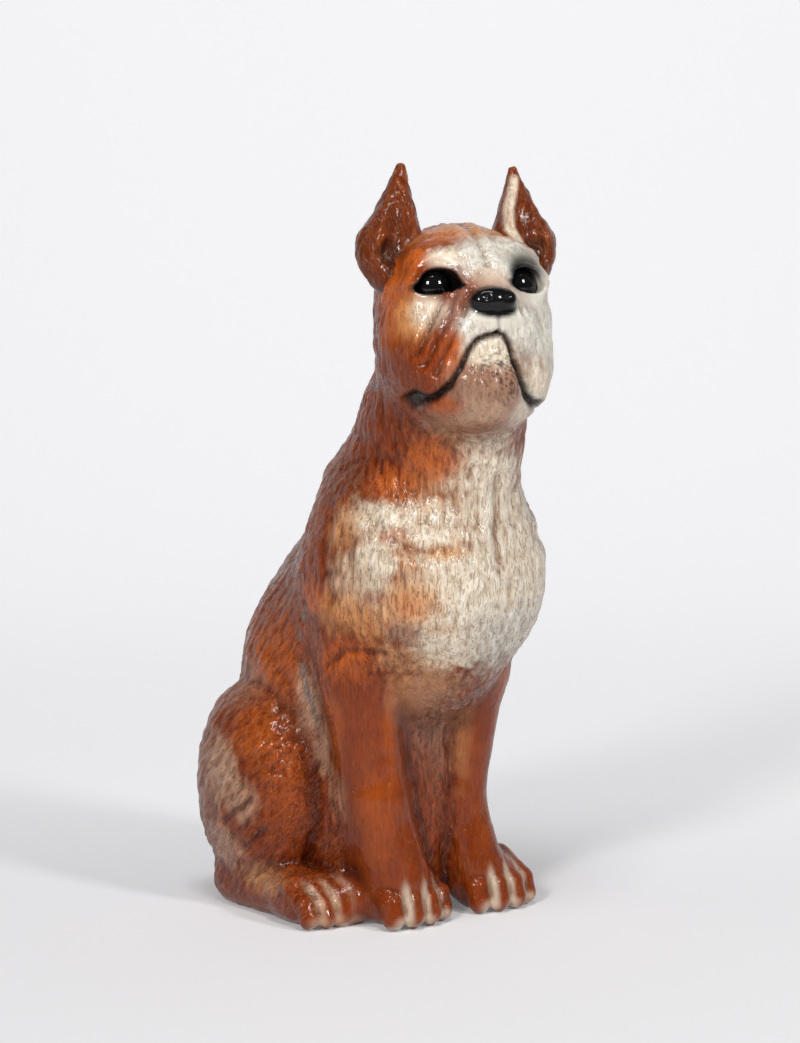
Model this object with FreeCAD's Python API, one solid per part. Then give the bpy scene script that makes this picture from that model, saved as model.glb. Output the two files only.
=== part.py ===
import FreeCAD, Part
from FreeCAD import Vector, Placement, Rotation
import math
import os

# Seated painted plaster dog, hollow, cast in two halves and joined, with separate ears.
# The dog looks towards -Y, its own left is +X, and it stands on the plane Z = 0.

# Driving sizes, in millimetres and degrees
FIGURE_HEIGHT = 350.0       # nominal height, just above the tips of the ears
WALL = 8.0                  # plaster wall of the hollow body
SKULL_WALL = 9.0            # plaster wall round the hollow of the head
DISC_THICK = 6.0            # plaster disc that closes the underside
REBATE = 4.0                # step in the mouth of the hollow that the disc seats on
BEAD_THICK = 3.0            # plaster bead that joins the halves from inside
BEAD_HALF_WIDTH = 9.0       # reach of the bead to each side of the parting
EYE_RADIUS = 8.0            # half of the inset eye dome's breadth
SOCKET_RADIUS = 10.0        # round opening between the lids
WIRE_RADIUS = 1.2           # reinforcing wire in each ear
WIRE_LENGTH = 44.0          # length of that wire
EAR_HOLLOW_DEPTH = 6.0      # how deep the scoop of each ear is cut
HEAD_TURN = -23.0           # the head looks towards the dog's right
HEAD_NOD = -15.0            # and a little upwards
OVERRUN = 30.0              # how far cutting tools run past the figure

# The form is written as shares of the figure's height. One row of the trunk is height of
# the section, half width, foremost reach, where it is widest, rearmost reach, and how
# full the back of the section is: 2 is an ellipse, more is squarer.
TRUNK_SHARES = [
    (0.000, 0.126, -0.063, 0.040, 0.143, 2.3), (0.034, 0.137, -0.097, 0.040, 0.154, 2.3),
    (0.086, 0.143, -0.120, 0.046, 0.169, 2.3), (0.157, 0.149, -0.126, 0.051, 0.177, 2.3),
    (0.229, 0.149, -0.142, 0.034, 0.181, 2.3), (0.300, 0.143, -0.203, 0.000, 0.175, 2.3),
    (0.371, 0.146, -0.248, -0.080, 0.160, 2.2), (0.429, 0.146, -0.263, -0.103, 0.129, 1.8),
    (0.486, 0.142, -0.263, -0.109, 0.080, 1.8), (0.543, 0.130, -0.260, -0.097, 0.020, 2.0),
    (0.594, 0.113, -0.266, -0.091, -0.015, 2.2), (0.643, 0.110, -0.279, -0.155, -0.030, 2.2),
    (0.686, 0.109, -0.279, -0.163, -0.052, 2.2), (0.720, 0.101, -0.269, -0.169, -0.072, 2.2),
    (0.754, 0.081, -0.246, -0.174, -0.096, 2.2)]
FULLNESS_SHARE = 2.3        # the same for the front of the trunk and for the skull

# Swellings of the body: sideways, forward and up of the centre, then the three radii
SHOULDER_SHARES = (0.106, -0.114, 0.443, 0.054, 0.097, 0.120)
BREAST_SHARES = (0.051, -0.189, 0.451, 0.060, 0.071, 0.103)
WITHERS_SHARES = (0.086, -0.057, 0.549, 0.043, 0.060, 0.071)
HAUNCH_SHARES = (0.128, 0.060, 0.157, 0.056, 0.111, 0.143)
HIND_PAW_SHARES = (0.143, -0.054, 0.031, 0.044, 0.050, 0.036)
HIND_FOOT_SHARES = [(0.134, 0.131, 0.031, 0.018), (0.133, 0.094, 0.034, 0.037),
                    (0.137, 0.020, 0.033, 0.036), (0.140, -0.050, 0.030, 0.034)]

# Forelegs from the elbow down, in rows of sideways, forward, height and radius
RIGHT_LEG_SHARES = [(-0.100, -0.100, 0.430, 0.056), (-0.096, -0.103, 0.320, 0.047),
                    (-0.089, -0.114, 0.230, 0.042), (-0.084, -0.121, 0.157, 0.041),
                    (-0.073, -0.131, 0.080, 0.045), (-0.063, -0.137, 0.000, 0.046)]
LEFT_LEG_SHARES = [(0.092, -0.106, 0.430, 0.054), (0.080, -0.119, 0.314, 0.048),
                   (0.066, -0.121, 0.214, 0.040), (0.059, -0.123, 0.143, 0.036),
                   (0.068, -0.134, 0.080, 0.038), (0.080, -0.140, 0.000, 0.044)]
RIGHT_PAW_SHARES = (-0.054, -0.134, 0.031, 0.053, 0.046, 0.039)
LEFT_PAW_SHARES = (0.094, -0.137, 0.031, 0.053, 0.046, 0.039)
# Plaster left between the fore and hind paw of each side
WEB_SHARES = [(-0.106, -0.086, 0.029, 0.034, 0.040, 0.034), (0.126, -0.086, 0.023, 0.029, 0.040, 0.029)]

# Toes of one paw, as shares of the paw's own radii: sideways, forward, radius, then
# how long and how high each toe is
TOE_PLACE_SHARES = (-0.69, -0.24, 0.24, 0.69)
TOE_FRONT_SHARES = (-0.52, -0.72, -0.72, -0.52)
TOE_RADIUS_SHARE = 0.30
TOE_LENGTH_SHARE = 0.55
TOE_HEIGHT_SHARE = 0.80
TOE_DROP_SHARE = 0.10

# Docked tail, lying close to the rump: height, how far it stands out, radii
TAIL_SHARES = (0.0, 0.166, 0.185, 0.020, 0.024, 0.040)

# Where the head turns on the neck, and the skull in the head's own directions:
# height, half width, foremost and rearmost reach
HEAD_PLACE_SHARES = (-0.0114, -0.1954, 0.7866)
SKULL_SHARES = [
    (-0.160, 0.050, -0.086, 0.018), (-0.131, 0.080, -0.092, 0.052),
    (-0.097, 0.103, -0.095, 0.090), (-0.057, 0.111, -0.095, 0.103),
    (-0.017, 0.109, -0.100, 0.108), (0.023, 0.106, -0.106, 0.114),
    (0.057, 0.097, -0.100, 0.108), (0.086, 0.083, -0.083, 0.091),
    (0.106, 0.060, -0.057, 0.069), (0.117, 0.029, -0.023, 0.040)]
FACE_PAIR_SHARES = [
    (0.049, -0.069, 0.054, 0.037, 0.026, 0.023),     # brow over each eye
    (0.059, -0.077, 0.023, 0.037, 0.023, 0.027),     # lids
    (0.074, -0.017, -0.040, 0.037, 0.069, 0.080),    # cheek
    (0.029, -0.098, -0.048, 0.038, 0.038, 0.036),    # upper lip pad
    (0.056, -0.060, -0.083, 0.037, 0.044, 0.054)]    # hanging flew
FACE_MIDDLE_SHARES = [
    (0.000, -0.046, 0.000, 0.094, 0.076, 0.086),     # front of the face
    (0.000, -0.106, -0.026, 0.034, 0.036, 0.037),    # bridge of the muzzle
    (0.000, -0.085, -0.106, 0.056, 0.056, 0.058),    # chin
    (0.000, -0.029, -0.103, 0.077, 0.080, 0.063),    # throat under the jaw
    (0.000, -0.131, -0.011, 0.030, 0.018, 0.019)]    # nose
MOUTH_SHARES = [(0.000, -0.122, -0.054), (0.038, -0.110, -0.080), (0.074, -0.074, -0.126)]
MOUTH_SLIT_SHARE = 0.006    # half the slit's height
MOUTH_REACH_SHARE = 0.030   # how far the slit runs out through the lips
EYE_PLACE_SHARES = (0.057, -0.066, 0.023)
SOCKET_PLACE_SHARES = (0.059, -0.090, 0.023)
SKULL_HOLLOW_SHARES = (0.0, 0.020, -0.020, 0.101, 0.098, 0.113)
NECK_ROWS_SHARE = 14        # rows of the trunk below the hollow of the head

# Cropped ears in the head's directions, for the right ear: height, middle, half
# breadth, foremost and rearmost reach. The left ear leans further outwards.
RIGHT_EAR_SHARES = [(0.020, -0.106, 0.012, -0.030, 0.020), (0.060, -0.091, 0.034, -0.042, 0.026),
                    (0.094, -0.080, 0.044, -0.040, 0.026), (0.126, -0.071, 0.037, -0.034, 0.020),
                    (0.160, -0.066, 0.022, -0.028, 0.010), (0.194, -0.064, 0.006, -0.016, -0.004)]
LEFT_EAR_SHARES = [(0.020, 0.108, 0.014, -0.030, 0.020), (0.060, 0.100, 0.034, -0.042, 0.026),
                   (0.094, 0.094, 0.042, -0.040, 0.026), (0.126, 0.090, 0.035, -0.034, 0.020),
                   (0.157, 0.087, 0.021, -0.028, 0.010), (0.189, 0.087, 0.006, -0.016, -0.004)]

SCOOP_WIDTH_SHARE = 0.62    # of the ear's half breadth
SCOOP_LENGTH_SHARE = 0.42   # of the ear's height

# The parting runs up each side: rows of height and how far back it lies
PARTING_SHARES = [(0.300, -0.066), (0.371, -0.060), (0.446, -0.049), (0.571, -0.086),
                  (0.686, -0.137), (0.749, -0.177), (0.829, -0.189), (0.960, -0.189)]
# Below the elbows it passes between fore and hind paws, in rows of sideways and back
PARTING_FOOT_SHARES = [(0.083, -0.069), (0.257, -0.223)]

ROUND = 32                  # sides of the large sections
MIDDLE_ROUND = 24           # sides of the haunches and the hollow
SWELL_ROUND = 20            # sides of the other swellings
SMALL_ROUND = 16            # sides of the small ones
TOE_ROUND = 12              # sides of a toe
BANDS = 7                   # bands of a large swelling from pole to pole
SMALL_BANDS = 5             # bands of a small one
POLE_SHARE = 0.35           # how flat the poles of a swelling are cut, in bands


def size(share):
    return share * FIGURE_HEIGHT


# A ring of points at one height: middle, half width, reach forward, where it is widest
# and reach back, with its fullness before and behind
def ring(middle, half, front, widest, back, height, sides, fullness=2.0, behind=2.0):
    points = []
    for i in range(sides):
        turn = 2 * math.pi * (i + 0.5) / sides
        c, s = math.cos(turn), math.sin(turn)
        depth, full = (back - widest, behind) if s > 0 else (widest - front, fullness)
        reach = (abs(c) ** full + abs(s) ** full) ** (-1 / full)
        points.append(Vector(middle + half * c * reach, widest + depth * s * reach, height))
    return points


# A round ring about a centre
def round_ring(x, half, y, depth, height, sides, fullness=2.0):
    return ring(x, half, y - depth, y, y + depth, height, sides, fullness, fullness)


# Loft rings into a solid of flat facets, as a carver blocks in a form
def loft(rings):
    faces = [Part.Face(Part.makePolygon(r + r[:1])) for r in (rings[0], rings[-1])]
    for low, high in zip(rings, rings[1:]):
        for i in range(len(low)):
            j = (i + 1) % len(low)
            for corners in ((low[i], low[j], high[j]), (low[i], high[j], high[i])):
                faces.append(Part.Face(Part.makePolygon(list(corners) + [corners[0]])))
    solid = Part.makeSolid(Part.makeShell(faces))
    if solid.Volume < 0:
        solid.reverse()
    return solid


# An egg-shaped swelling from its centre and three radii
def swelling(x, y, z, rx, ry, rz, sides=SMALL_ROUND, bands=SMALL_BANDS):
    rings = []
    for i in range(bands + 1):
        rise = math.pi * ((i + POLE_SHARE) / (bands + 2 * POLE_SHARE) - 0.5)
        half, depth = rx * math.cos(rise), ry * math.cos(rise)
        rings.append(round_ring(x, half, y, depth, z + rz * math.sin(rise), sides))
    return loft(rings)


def swell(shares, side=1, **how):
    x, y, z, rx, ry, rz = [size(s) for s in shares]
    return swelling(side * x, y, z, rx, ry, rz, **how)


# A tapering limb through round sections that stay level
def limb(rows):
    rings = []
    for x, y, z, r in [[size(s) for s in row] for row in rows]:
        rings.append(round_ring(x, r, y, r, z, SMALL_ROUND))
    return loft(rings[::-1])


# The hind foot lies along the ground, so its sections stand upright
def hind_foot(side):
    rings = []
    for x, y, z, r in [[size(s) for s in row] for row in HIND_FOOT_SHARES]:
        flat = round_ring(side * x, r, 0, r, y, SMALL_ROUND)
        rings.append([Vector(p.x, p.z, z + p.y) for p in flat])
    return loft(rings)


# Four toes across the front of a paw
def toes(shares, side=1):
    x, y, z, rx, ry, rz = [size(s) for s in shares]
    made = []
    for across, ahead in zip(TOE_PLACE_SHARES, TOE_FRONT_SHARES):
        made.append(swelling(side * x + across * rx, y + ahead * ry, z - TOE_DROP_SHARE * rz,
                             TOE_RADIUS_SHARE * rx, TOE_LENGTH_SHARE * ry,
                             TOE_HEIGHT_SHARE * rz, sides=TOE_ROUND))
    return made


HEAD_PLACE = Placement(Vector(*[size(s) for s in HEAD_PLACE_SHARES]),
                       Rotation(HEAD_TURN, 0, HEAD_NOD))


def on_head(shape):
    shape.Placement = HEAD_PLACE.multiply(shape.Placement)
    return shape


def head_solid():
    rings = []
    for height, half, front, back in [[size(s) for s in row] for row in SKULL_SHARES]:
        middle, depth = (front + back) / 2, (back - front) / 2
        rings.append(round_ring(0, half, middle, depth, height, ROUND, FULLNESS_SHARE))
    forms = [swell(shares, side) for shares in FACE_PAIR_SHARES for side in (-1, 1)]
    forms += [swell(shares) for shares in FACE_MIDDLE_SHARES]
    return on_head(loft(rings).multiFuse(forms))


def trunk_rings(rows, inset=0.0, sides=ROUND):
    rings = []
    for height, half, front, widest, back, behind in rows:
        rings.append(ring(0, size(half) - inset, size(front) + inset, size(widest),
                          size(back) - inset, size(height), sides, FULLNESS_SHARE, behind))
    return rings


def body_solid():
    forms = []
    for side in (-1, 1):
        for shares in (SHOULDER_SHARES, BREAST_SHARES, WITHERS_SHARES, HIND_PAW_SHARES):
            forms.append(swell(shares, side, sides=SWELL_ROUND))
        forms += [swell(HAUNCH_SHARES, side, sides=MIDDLE_ROUND, bands=BANDS), hind_foot(side)]
        forms += toes(HIND_PAW_SHARES, side)
    for leg, paw in ((RIGHT_LEG_SHARES, RIGHT_PAW_SHARES), (LEFT_LEG_SHARES, LEFT_PAW_SHARES)):
        forms += [limb(leg), swell(paw, sides=SWELL_ROUND)] + toes(paw)
    forms += [swell(shares) for shares in WEB_SHARES] + [swell(TAIL_SHARES), head_solid()]
    whole = loft(trunk_rings(TRUNK_SHARES)).multiFuse(forms)
    return whole.cut(ground())


# Everything below the plane that the figure stands on
def ground():
    reach = FIGURE_HEIGHT
    return Part.makeBox(2 * reach, 2 * reach, OVERRUN, Vector(-reach, -reach, -OVERRUN))


# The hollow of body and head, drawn in by the wall
def hollow(inset):
    body = loft(trunk_rings(TRUNK_SHARES[:NECK_ROWS_SHARE], inset, MIDDLE_ROUND))
    x, y, z, rx, ry, rz = [size(s) for s in SKULL_HOLLOW_SHARES]
    less = SKULL_WALL + inset - WALL
    skull = on_head(swelling(x, y, z, rx - less, ry - less, rz - less, sides=SWELL_ROUND, bands=BANDS))
    return body.fuse(skull)


# The front half of space, up to the parting moved back by a given distance
def front_space(back=0.0):
    wide, far = FIGURE_HEIGHT, FIGURE_HEIGHT
    rows = [(size(y) + back, size(z)) for z, y in PARTING_SHARES]
    elbow, top = rows[0][1], rows[-1][1] + OVERRUN
    profile = [Vector(-wide, -far, elbow)] + [Vector(-wide, y, z) for y, z in rows]
    profile += [Vector(-wide, rows[-1][0], top), Vector(-wide, -far, top)]
    upper = Part.Face(Part.makePolygon(profile + profile[:1])).extrude(Vector(2 * wide, 0, 0))
    right = [(size(x), size(y) + back) for x, y in PARTING_FOOT_SHARES]
    plan = right + [(right[-1][0], -far), (-right[-1][0], -far)] + [(-x, y) for x, y in right[::-1]]
    corners = [Vector(x, y, -OVERRUN) for x, y in plan]
    lower = Part.Face(Part.makePolygon(corners + corners[:1])).extrude(Vector(0, 0, elbow + OVERRUN))
    return upper.fuse(lower)


def ear_form(rows, side):
    rings = []
    for height, middle, half, front, back in [[size(s) for s in row] for row in rows]:
        rings.append(round_ring(middle, half, (front + back) / 2, (back - front) / 2, height, SMALL_ROUND))
    ear = loft(rings)
    low, mid, high = [[size(s) for s in rows[i]] for i in (1, 2, -1)]
    scoop = swelling(mid[1], mid[3], (low[0] + high[0]) / 2, SCOOP_WIDTH_SHARE * mid[2],
                     EAR_HOLLOW_DEPTH, SCOOP_LENGTH_SHARE * (high[0] - low[0]), sides=SMALL_ROUND)
    return on_head(ear.cut(scoop))


def ear_wire(rows):
    foot = Vector(*[size(s) for s in (rows[1][1], (rows[1][3] + rows[1][4]) / 2, rows[0][0])])
    tip = Vector(*[size(s) for s in (rows[-1][1], (rows[-1][3] + rows[-1][4]) / 2, rows[-1][0])])
    along = (tip - foot).normalize()
    return on_head(Part.makeCylinder(WIRE_RADIUS, WIRE_LENGTH, foot, along))


def head_ball(shares, radius, side):
    x, y, z = [size(s) for s in shares]
    return on_head(swelling(side * x, y, z, radius, radius, radius, sides=SWELL_ROUND, bands=BANDS))


# The slit of the mouth, drooping from below the nose to the corners
def mouth_slit():
    half, out = size(MOUTH_SLIT_SHARE), -size(MOUTH_REACH_SHARE)
    cuts = []
    for side in (-1, 1):
        places = [Vector(side * size(x), size(y), size(z)) for x, y, z in MOUTH_SHARES]
        rows = []
        for p in places:
            rows.append([p + Vector(0, out, half), p + Vector(0, out, -half),
                         p + Vector(0, half, -half), p + Vector(0, half, half)])
        cuts.append(on_head(loft(rows)))
    return cuts


def main():
    os.makedirs("parts", exist_ok=True)
    eyes = {"eye_right": head_ball(EYE_PLACE_SHARES, EYE_RADIUS, -1),
            "eye_left": head_ball(EYE_PLACE_SHARES, EYE_RADIUS, 1)}
    sockets = [head_ball(SOCKET_PLACE_SHARES, SOCKET_RADIUS, side) for side in (-1, 1)]
    wires = {"ear_wire_right": ear_wire(RIGHT_EAR_SHARES), "ear_wire_left": ear_wire(LEFT_EAR_SHARES)}
    inside = hollow(WALL)
    rim = trunk_rings(TRUNK_SHARES[:1], WALL - REBATE, MIDDLE_ROUND)[0]
    mouth = loft([rim, [p + Vector(0, 0, DISC_THICK) for p in rim]])

    full = body_solid()
    cast = full.cut([inside, mouth] + sockets + list(eyes.values()) + mouth_slit())
    nodes = {}
    nodes["ear_right"] = ear_form(RIGHT_EAR_SHARES, -1).cut([full, wires["ear_wire_right"]])
    nodes["ear_left"] = ear_form(LEFT_EAR_SHARES, 1).cut([full, wires["ear_wire_left"]])
    cast = cast.cut(list(wires.values()))
    front = front_space()
    nodes["front_casting"] = cast.common(front)
    nodes["back_casting"] = cast.cut(front)
    nodes["base_disc"] = mouth
    band = front_space(BEAD_HALF_WIDTH).cut(front_space(-BEAD_HALF_WIDTH))
    lining = inside.cut([hollow(WALL + BEAD_THICK), mouth])
    nodes["seam_bead"] = lining.common(band).cut(list(wires.values()))
    nodes.update(eyes)
    nodes.update(wires)
    for name, shape in nodes.items():
        solids = sorted(shape.Solids, key=lambda s: -s.Volume)
        print(name, "valid", shape.isValid(), "solids", [round(s.Volume) for s in solids],
              "faces", len(shape.Faces))
        solids[0].exportStep("parts/" + name + ".step")


main()
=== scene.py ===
# %% [markdown]
# # Seated painted plaster dog
# The real object is a hollow figure of cast plaster, a third of a metre tall: two half castings
# joined along a seam, with ears and eyes set on, then sprayed with paint and lacquered. It could
# be pushed into shape in Sculpt Mode, but a script can't repeat what a hand does there. Here
# numpy does the sculpting: lumps of clay are blended, turned into a skin, carved and sprayed
# vertex by vertex. The CAD model gives the pieces, their names and their places.

# %% Loading the CAD model
import math
import bmesh
import bpy
import numpy as np
from mathutils import Matrix, Vector


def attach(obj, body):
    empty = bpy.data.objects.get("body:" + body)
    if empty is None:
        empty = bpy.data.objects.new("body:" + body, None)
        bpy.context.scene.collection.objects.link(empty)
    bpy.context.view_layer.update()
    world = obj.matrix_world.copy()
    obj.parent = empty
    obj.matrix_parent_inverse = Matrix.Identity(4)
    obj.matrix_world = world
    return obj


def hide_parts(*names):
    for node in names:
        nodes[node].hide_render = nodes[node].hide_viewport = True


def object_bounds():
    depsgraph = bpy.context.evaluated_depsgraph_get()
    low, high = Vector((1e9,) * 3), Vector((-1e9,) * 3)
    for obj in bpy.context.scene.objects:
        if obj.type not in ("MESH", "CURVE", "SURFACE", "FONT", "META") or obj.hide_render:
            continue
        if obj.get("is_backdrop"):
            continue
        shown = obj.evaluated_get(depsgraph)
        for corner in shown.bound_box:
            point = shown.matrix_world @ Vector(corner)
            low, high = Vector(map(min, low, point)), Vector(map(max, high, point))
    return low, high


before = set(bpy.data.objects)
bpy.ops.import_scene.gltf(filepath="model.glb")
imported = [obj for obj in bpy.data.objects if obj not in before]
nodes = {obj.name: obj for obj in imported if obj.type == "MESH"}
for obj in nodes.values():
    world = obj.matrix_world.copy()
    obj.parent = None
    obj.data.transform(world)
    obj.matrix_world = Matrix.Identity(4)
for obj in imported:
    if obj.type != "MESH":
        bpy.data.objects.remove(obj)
cad_low, cad_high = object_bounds()
print("CAD box", [round(v, 4) for v in (*cad_low, *cad_high)])

# %% Scale of the figure
CAD_HEIGHT = 342.3                             # ear tips above the base, in millimetres
MM = (cad_high[2] - cad_low[2]) / CAD_HEIGHT   # one millimetre of the figure in metres
SKIN_STEP = 1.05        # spacing of the skin's vertices, in millimetres
EAR_STEP = 0.8          # the same on the ears
print("one millimetre of the figure is", round(MM, 7), "m")

# %% [markdown]
# ## Lumps of clay as distances
# A modeller presses lumps of clay together. Metaballs would do that in Blender, but they give
# no say over how softly each pair meets. Here each lump is a function that tells how far a
# point lies outside it, in millimetres of the real figure. The surface is where that distance
# is zero, and lumps are joined or cut with simple sums.

# %% Turning a lump
def turned(rx=0, ry=0, rz=0):
    rx, ry, rz = np.radians([rx, ry, rz])
    about_x = [[1, 0, 0], [0, np.cos(rx), -np.sin(rx)], [0, np.sin(rx), np.cos(rx)]]
    about_y = [[np.cos(ry), 0, np.sin(ry)], [0, 1, 0], [-np.sin(ry), 0, np.cos(ry)]]
    about_z = [[np.cos(rz), -np.sin(rz), 0], [np.sin(rz), np.cos(rz), 0], [0, 0, 1]]
    return (np.array(about_z) @ about_y @ about_x).astype(np.float32)


def local(x, y, z, centre, turn):
    """Places as seen from a turned lump's own middle."""
    d = (x - centre[0], y - centre[1], z - centre[2])
    return [turn[0][i] * d[0] + turn[1][i] * d[1] + turn[2][i] * d[2] for i in range(3)]


print("a quarter turn about z takes x to", (turned(rz=90) @ (1, 0, 0)).round(3))


# %% Two kinds of lump
def egg(x, y, z, centre, radii, turn=None):
    """Distance outside an egg with three radii."""
    if turn is None:
        x, y, z = x - centre[0], y - centre[1], z - centre[2]
    else:
        x, y, z = local(x, y, z, centre, turn)
    rx, ry, rz = radii
    near = np.sqrt((x / rx) ** 2 + (y / ry) ** 2 + (z / rz) ** 2) + 1e-6
    steep = np.sqrt((x / rx ** 2) ** 2 + (y / ry ** 2) ** 2 + (z / rz ** 2) ** 2) + 1e-6
    return near * (near - 1) / steep


def limb(x, y, z, start, end, thick, thin):
    """Distance outside a rod with round ends, thick at its start and thin at its end."""
    along = np.subtract(end, start)
    x, y, z = x - start[0], y - start[1], z - start[2]
    t = np.clip((x * along[0] + y * along[1] + z * along[2]) / float(along @ along), 0, 1)
    far = (x - t * along[0]) ** 2 + (y - t * along[1]) ** 2 + (z - t * along[2]) ** 2
    return np.sqrt(far) - (thick + (thin - thick) * t)


far_out = egg(20, 0, 0, (0, 0, 0), (10, 10, 10))
print("20 mm from the middle of a 10 mm ball is", round(float(far_out), 2), "mm outside")


# %% Pressing lumps together and cutting into them
def join(a, b, soft):
    """Both lumps as one, with clay smoothed into the corner between them."""
    if soft <= 0:
        return np.minimum(a, b)
    h = np.clip(0.5 + 0.5 * (b - a) / soft, 0, 1)
    return b + (a - b) * h - soft * h * (1 - h)


def carve(a, b, soft):
    """The first lump with the second cut out of it."""
    return -join(-a, b, soft)


print("at softness 8, two surfaces that meet gain", -join(0.0, 0.0, 8), "mm of clay")


# %% A lump with its softness and reach
def lump(centre, radii, soft, rx=0, ry=0, rz=0, cut=False):
    turn = turned(rx, ry, rz) if (rx or ry or rz) else None
    reach = max(radii) if turn is not None else np.array(radii)
    low, high = np.array(centre) - reach, np.array(centre) + reach
    return (lambda x, y, z: egg(x, y, z, centre, radii, turn)), soft, low, high, cut


def rod(start, end, thick, thin, soft, cut=False):
    wide = max(thick, thin)
    low = np.minimum(start, end) - wide
    high = np.maximum(start, end) + wide
    return (lambda x, y, z: limb(x, y, z, start, end, thick, thin)), soft, low, high, cut


low_end, high_end = rod((0, 0, 0), (0, 0, 30), 5, 4, 0)[2:4]
print("a rod 30 mm tall reaches from", low_end, "to", high_end)

# %% [markdown]
# ## The body
# The real body has a deep chest, straight forelegs, folded haunches and a stub of tail, and
# plaster is left in the gaps between the legs so that it comes out of its mould. One mirrored
# mesh would look too even, so left and right share a loop only where they are alike.
# The order counts, because each lump blends with all the clay that is there already.


# %% Trunk, neck and the plaster between the legs
def trunk_forms():
    rump = lump((0, 20, 55), (50, 41, 57), 0)
    belly = lump((0, 8, 105), (51, 52, 62), 20)
    ribs = lump((0, -28, 143), (48, 58, 58), 18, rx=-12)
    chest = lump((0, -48, 163), (42, 44, 46), 16)
    forms = [rump, belly, ribs, chest]
    for s in (-1, 1):
        shoulder = lump((s * 36, -40, 158), (17, 36, 44), 12)
        breast = lump((s * 18, -64, 158), (22, 25, 36), 12)
        withers = lump((s * 25, -22, 188), (14, 19, 24), 10)
        forms += [shoulder, breast, withers]
    neck = lump((-1, -50, 210), (36, 41, 50), 16, rx=10)
    throat = lump((-3, -62, 238), (33, 33, 36), 14)
    back_web = lump((0, -20, 38), (36, 22, 54), 10)
    front_web = lump((-2, -36, 62), (24, 15, 60), 8)
    return forms + [neck, throat, back_web, front_web]


print("lumps in the trunk", len(trunk_forms()))


# %% Forelegs, each of three rods
def foreleg_forms():
    near = [rod((-36, -38, 142), (-34.5, -37, 112), 18.5, 17, 7),
            rod((-34, -36, 112), (-29.5, -42, 56), 16.5, 14.5, 6),
            rod((-29.5, -42, 56), (-22, -47, 20), 14.5, 16, 5)]
    far = [rod((34, -39, 142), (28.5, -42, 110), 18.5, 17, 7),
           rod((28, -42, 110), (20.5, -42, 52), 17, 12.3, 6),
           rod((20.5, -42, 52), (25, -48, 20), 12.3, 14, 5)]
    return near + far


print("rods in the forelegs", len(foreleg_forms()))


# %% Forepaws and hindquarters
def forepaw(x, y):
    """A rounded paw with four toes, each bent down at its knuckle."""
    forms = [lump((x, y + 4, 12), (18, 16, 14), 6)]
    for dx, dy in ((-14, 3), (-5, 0), (5, 0), (14, 3)):
        knuckle = (x + dx, y + dy - 9, 12)
        forms += [rod((x + dx * .8, y + dy + 3, 21), knuckle, 6, 5.7, 1.6),
                  rod(knuckle, (x + dx * 1.03, y + dy - 11.5, 5.5), 5.7, 5.3, 1.2)]
    return forms


def hindquarter(s):
    """Web between leg and flank, haunch, foot and hind paw on side s."""
    forms = [lump((s * 34, -18, 58), (10, 22, 50), 8),
             lump((s * 45, 22, 56), (20, 38, 50), 4),
             rod((s * 44, 37, 11), (s * 49, -6, 11), 12.5, 12, 6),
             lump((s * 50, -18, 11), (15, 17, 12), 6)]
    for dx, dy in ((-11, 1), (-3.8, -2), (3.8, -2), (11, 2)):
        knuckle = (s * 50 + dx, -31 + dy, 10)
        forms += [rod((s * 50 + dx * .85, -20 + dy, 17), knuckle, 5.3, 5, 1.4),
                  rod(knuckle, (s * 50 + dx, -33.5 + dy, 5), 5, 4.8, 1.2)]
    return forms


def body_forms():
    forms = trunk_forms() + foreleg_forms()
    forms += forepaw(-19, -50) + hindquarter(-1) + forepaw(33, -51) + hindquarter(1)
    forms += [lump((-37, -30, 10), (12, 14, 12), 6), lump((44, -30, 8), (10, 14, 10), 6)]
    tail = lump((0, 57, 66), (7, 8, 14), 6)
    base = lump((0, 20, 8), (52, 40, 16), 8)
    return forms + [tail, base]


print("lumps in the body", len(body_forms()))

# %% [markdown]
# ## The head
# The dog lifts its head and turns it aside. Its brows, cheeks, hanging lips and chin are easier
# to place on a level head, so they are modelled straight ahead and the finished head is
# turned as a whole. Each eye sits in an almond cut between two lids, with a round socket
# behind that the eye's ball fills.

# %% Place of the head and of the eyes in it
HEAD_AT = (-4.0, -68.4, 275.3)
HEAD_TURN = turned(rz=-23) @ turned(rx=-15)
EYE_AT = (19.5, -22.8, 8)      # left eye, from the middle of the head
EYE_RADIUS = 9.2
SOCKET_RADIUS = 9.3
print("the head's own forward direction is", -HEAD_TURN[:, 1].round(3))


# %% Skull, muzzle, chin and eyes
def head_forms():
    skull = lump((0, 2, 8), (36, 38, 33), 0)
    muzzle_root = lump((0, -16, 0), (33, 26, 30), 10)
    forms = [skull, muzzle_root]
    for s in (-1, 1):
        brow = lump((s * 17, -24, 19), (13, 9, 8), 6)
        cheek = lump((s * 26 - 1, -6, -14), (13, 24, 28), 8)
        lip_pad = lump((s * 10, -33, -16), (13, 12, 12), 8)
        hanging_lip = lump((s * 19.5, -21, -29), (12.5, 15.5, 19), 8)
        forms += [brow, cheek, lip_pad, hanging_lip]
    forms += [lump((0, -37, -9), (12, 12.5, 13), 6),           # bridge
              lump((-2.5, -29, -37), (17, 17.5, 19.5), 7),     # chin
              lump((0, -10, -36), (27, 28, 22), 8)]            # jaw
    for s in (-1, 1):
        lids = lump((s * 20.5, -27, 8), (13, 8, 9.5), 3)
        opening = lump((s * 20, -34, 8), (7.9, 12, 5.7), 1.0, cut=True)
        corners = lump((s * 20.6, -34, 5.8), (10.2, 12, 3.7), 1.8, cut=True)
        socket = lump((s * EYE_AT[0], *EYE_AT[1:]), (SOCKET_RADIUS,) * 3, 0.5, cut=True)
        forms += [lids, opening, corners, socket]
    nose = lump((0, -46, -3.4), (10, 6, 5.8), 1.6)
    return forms + [nose]


print("lumps in the head", len(head_forms()))

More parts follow.
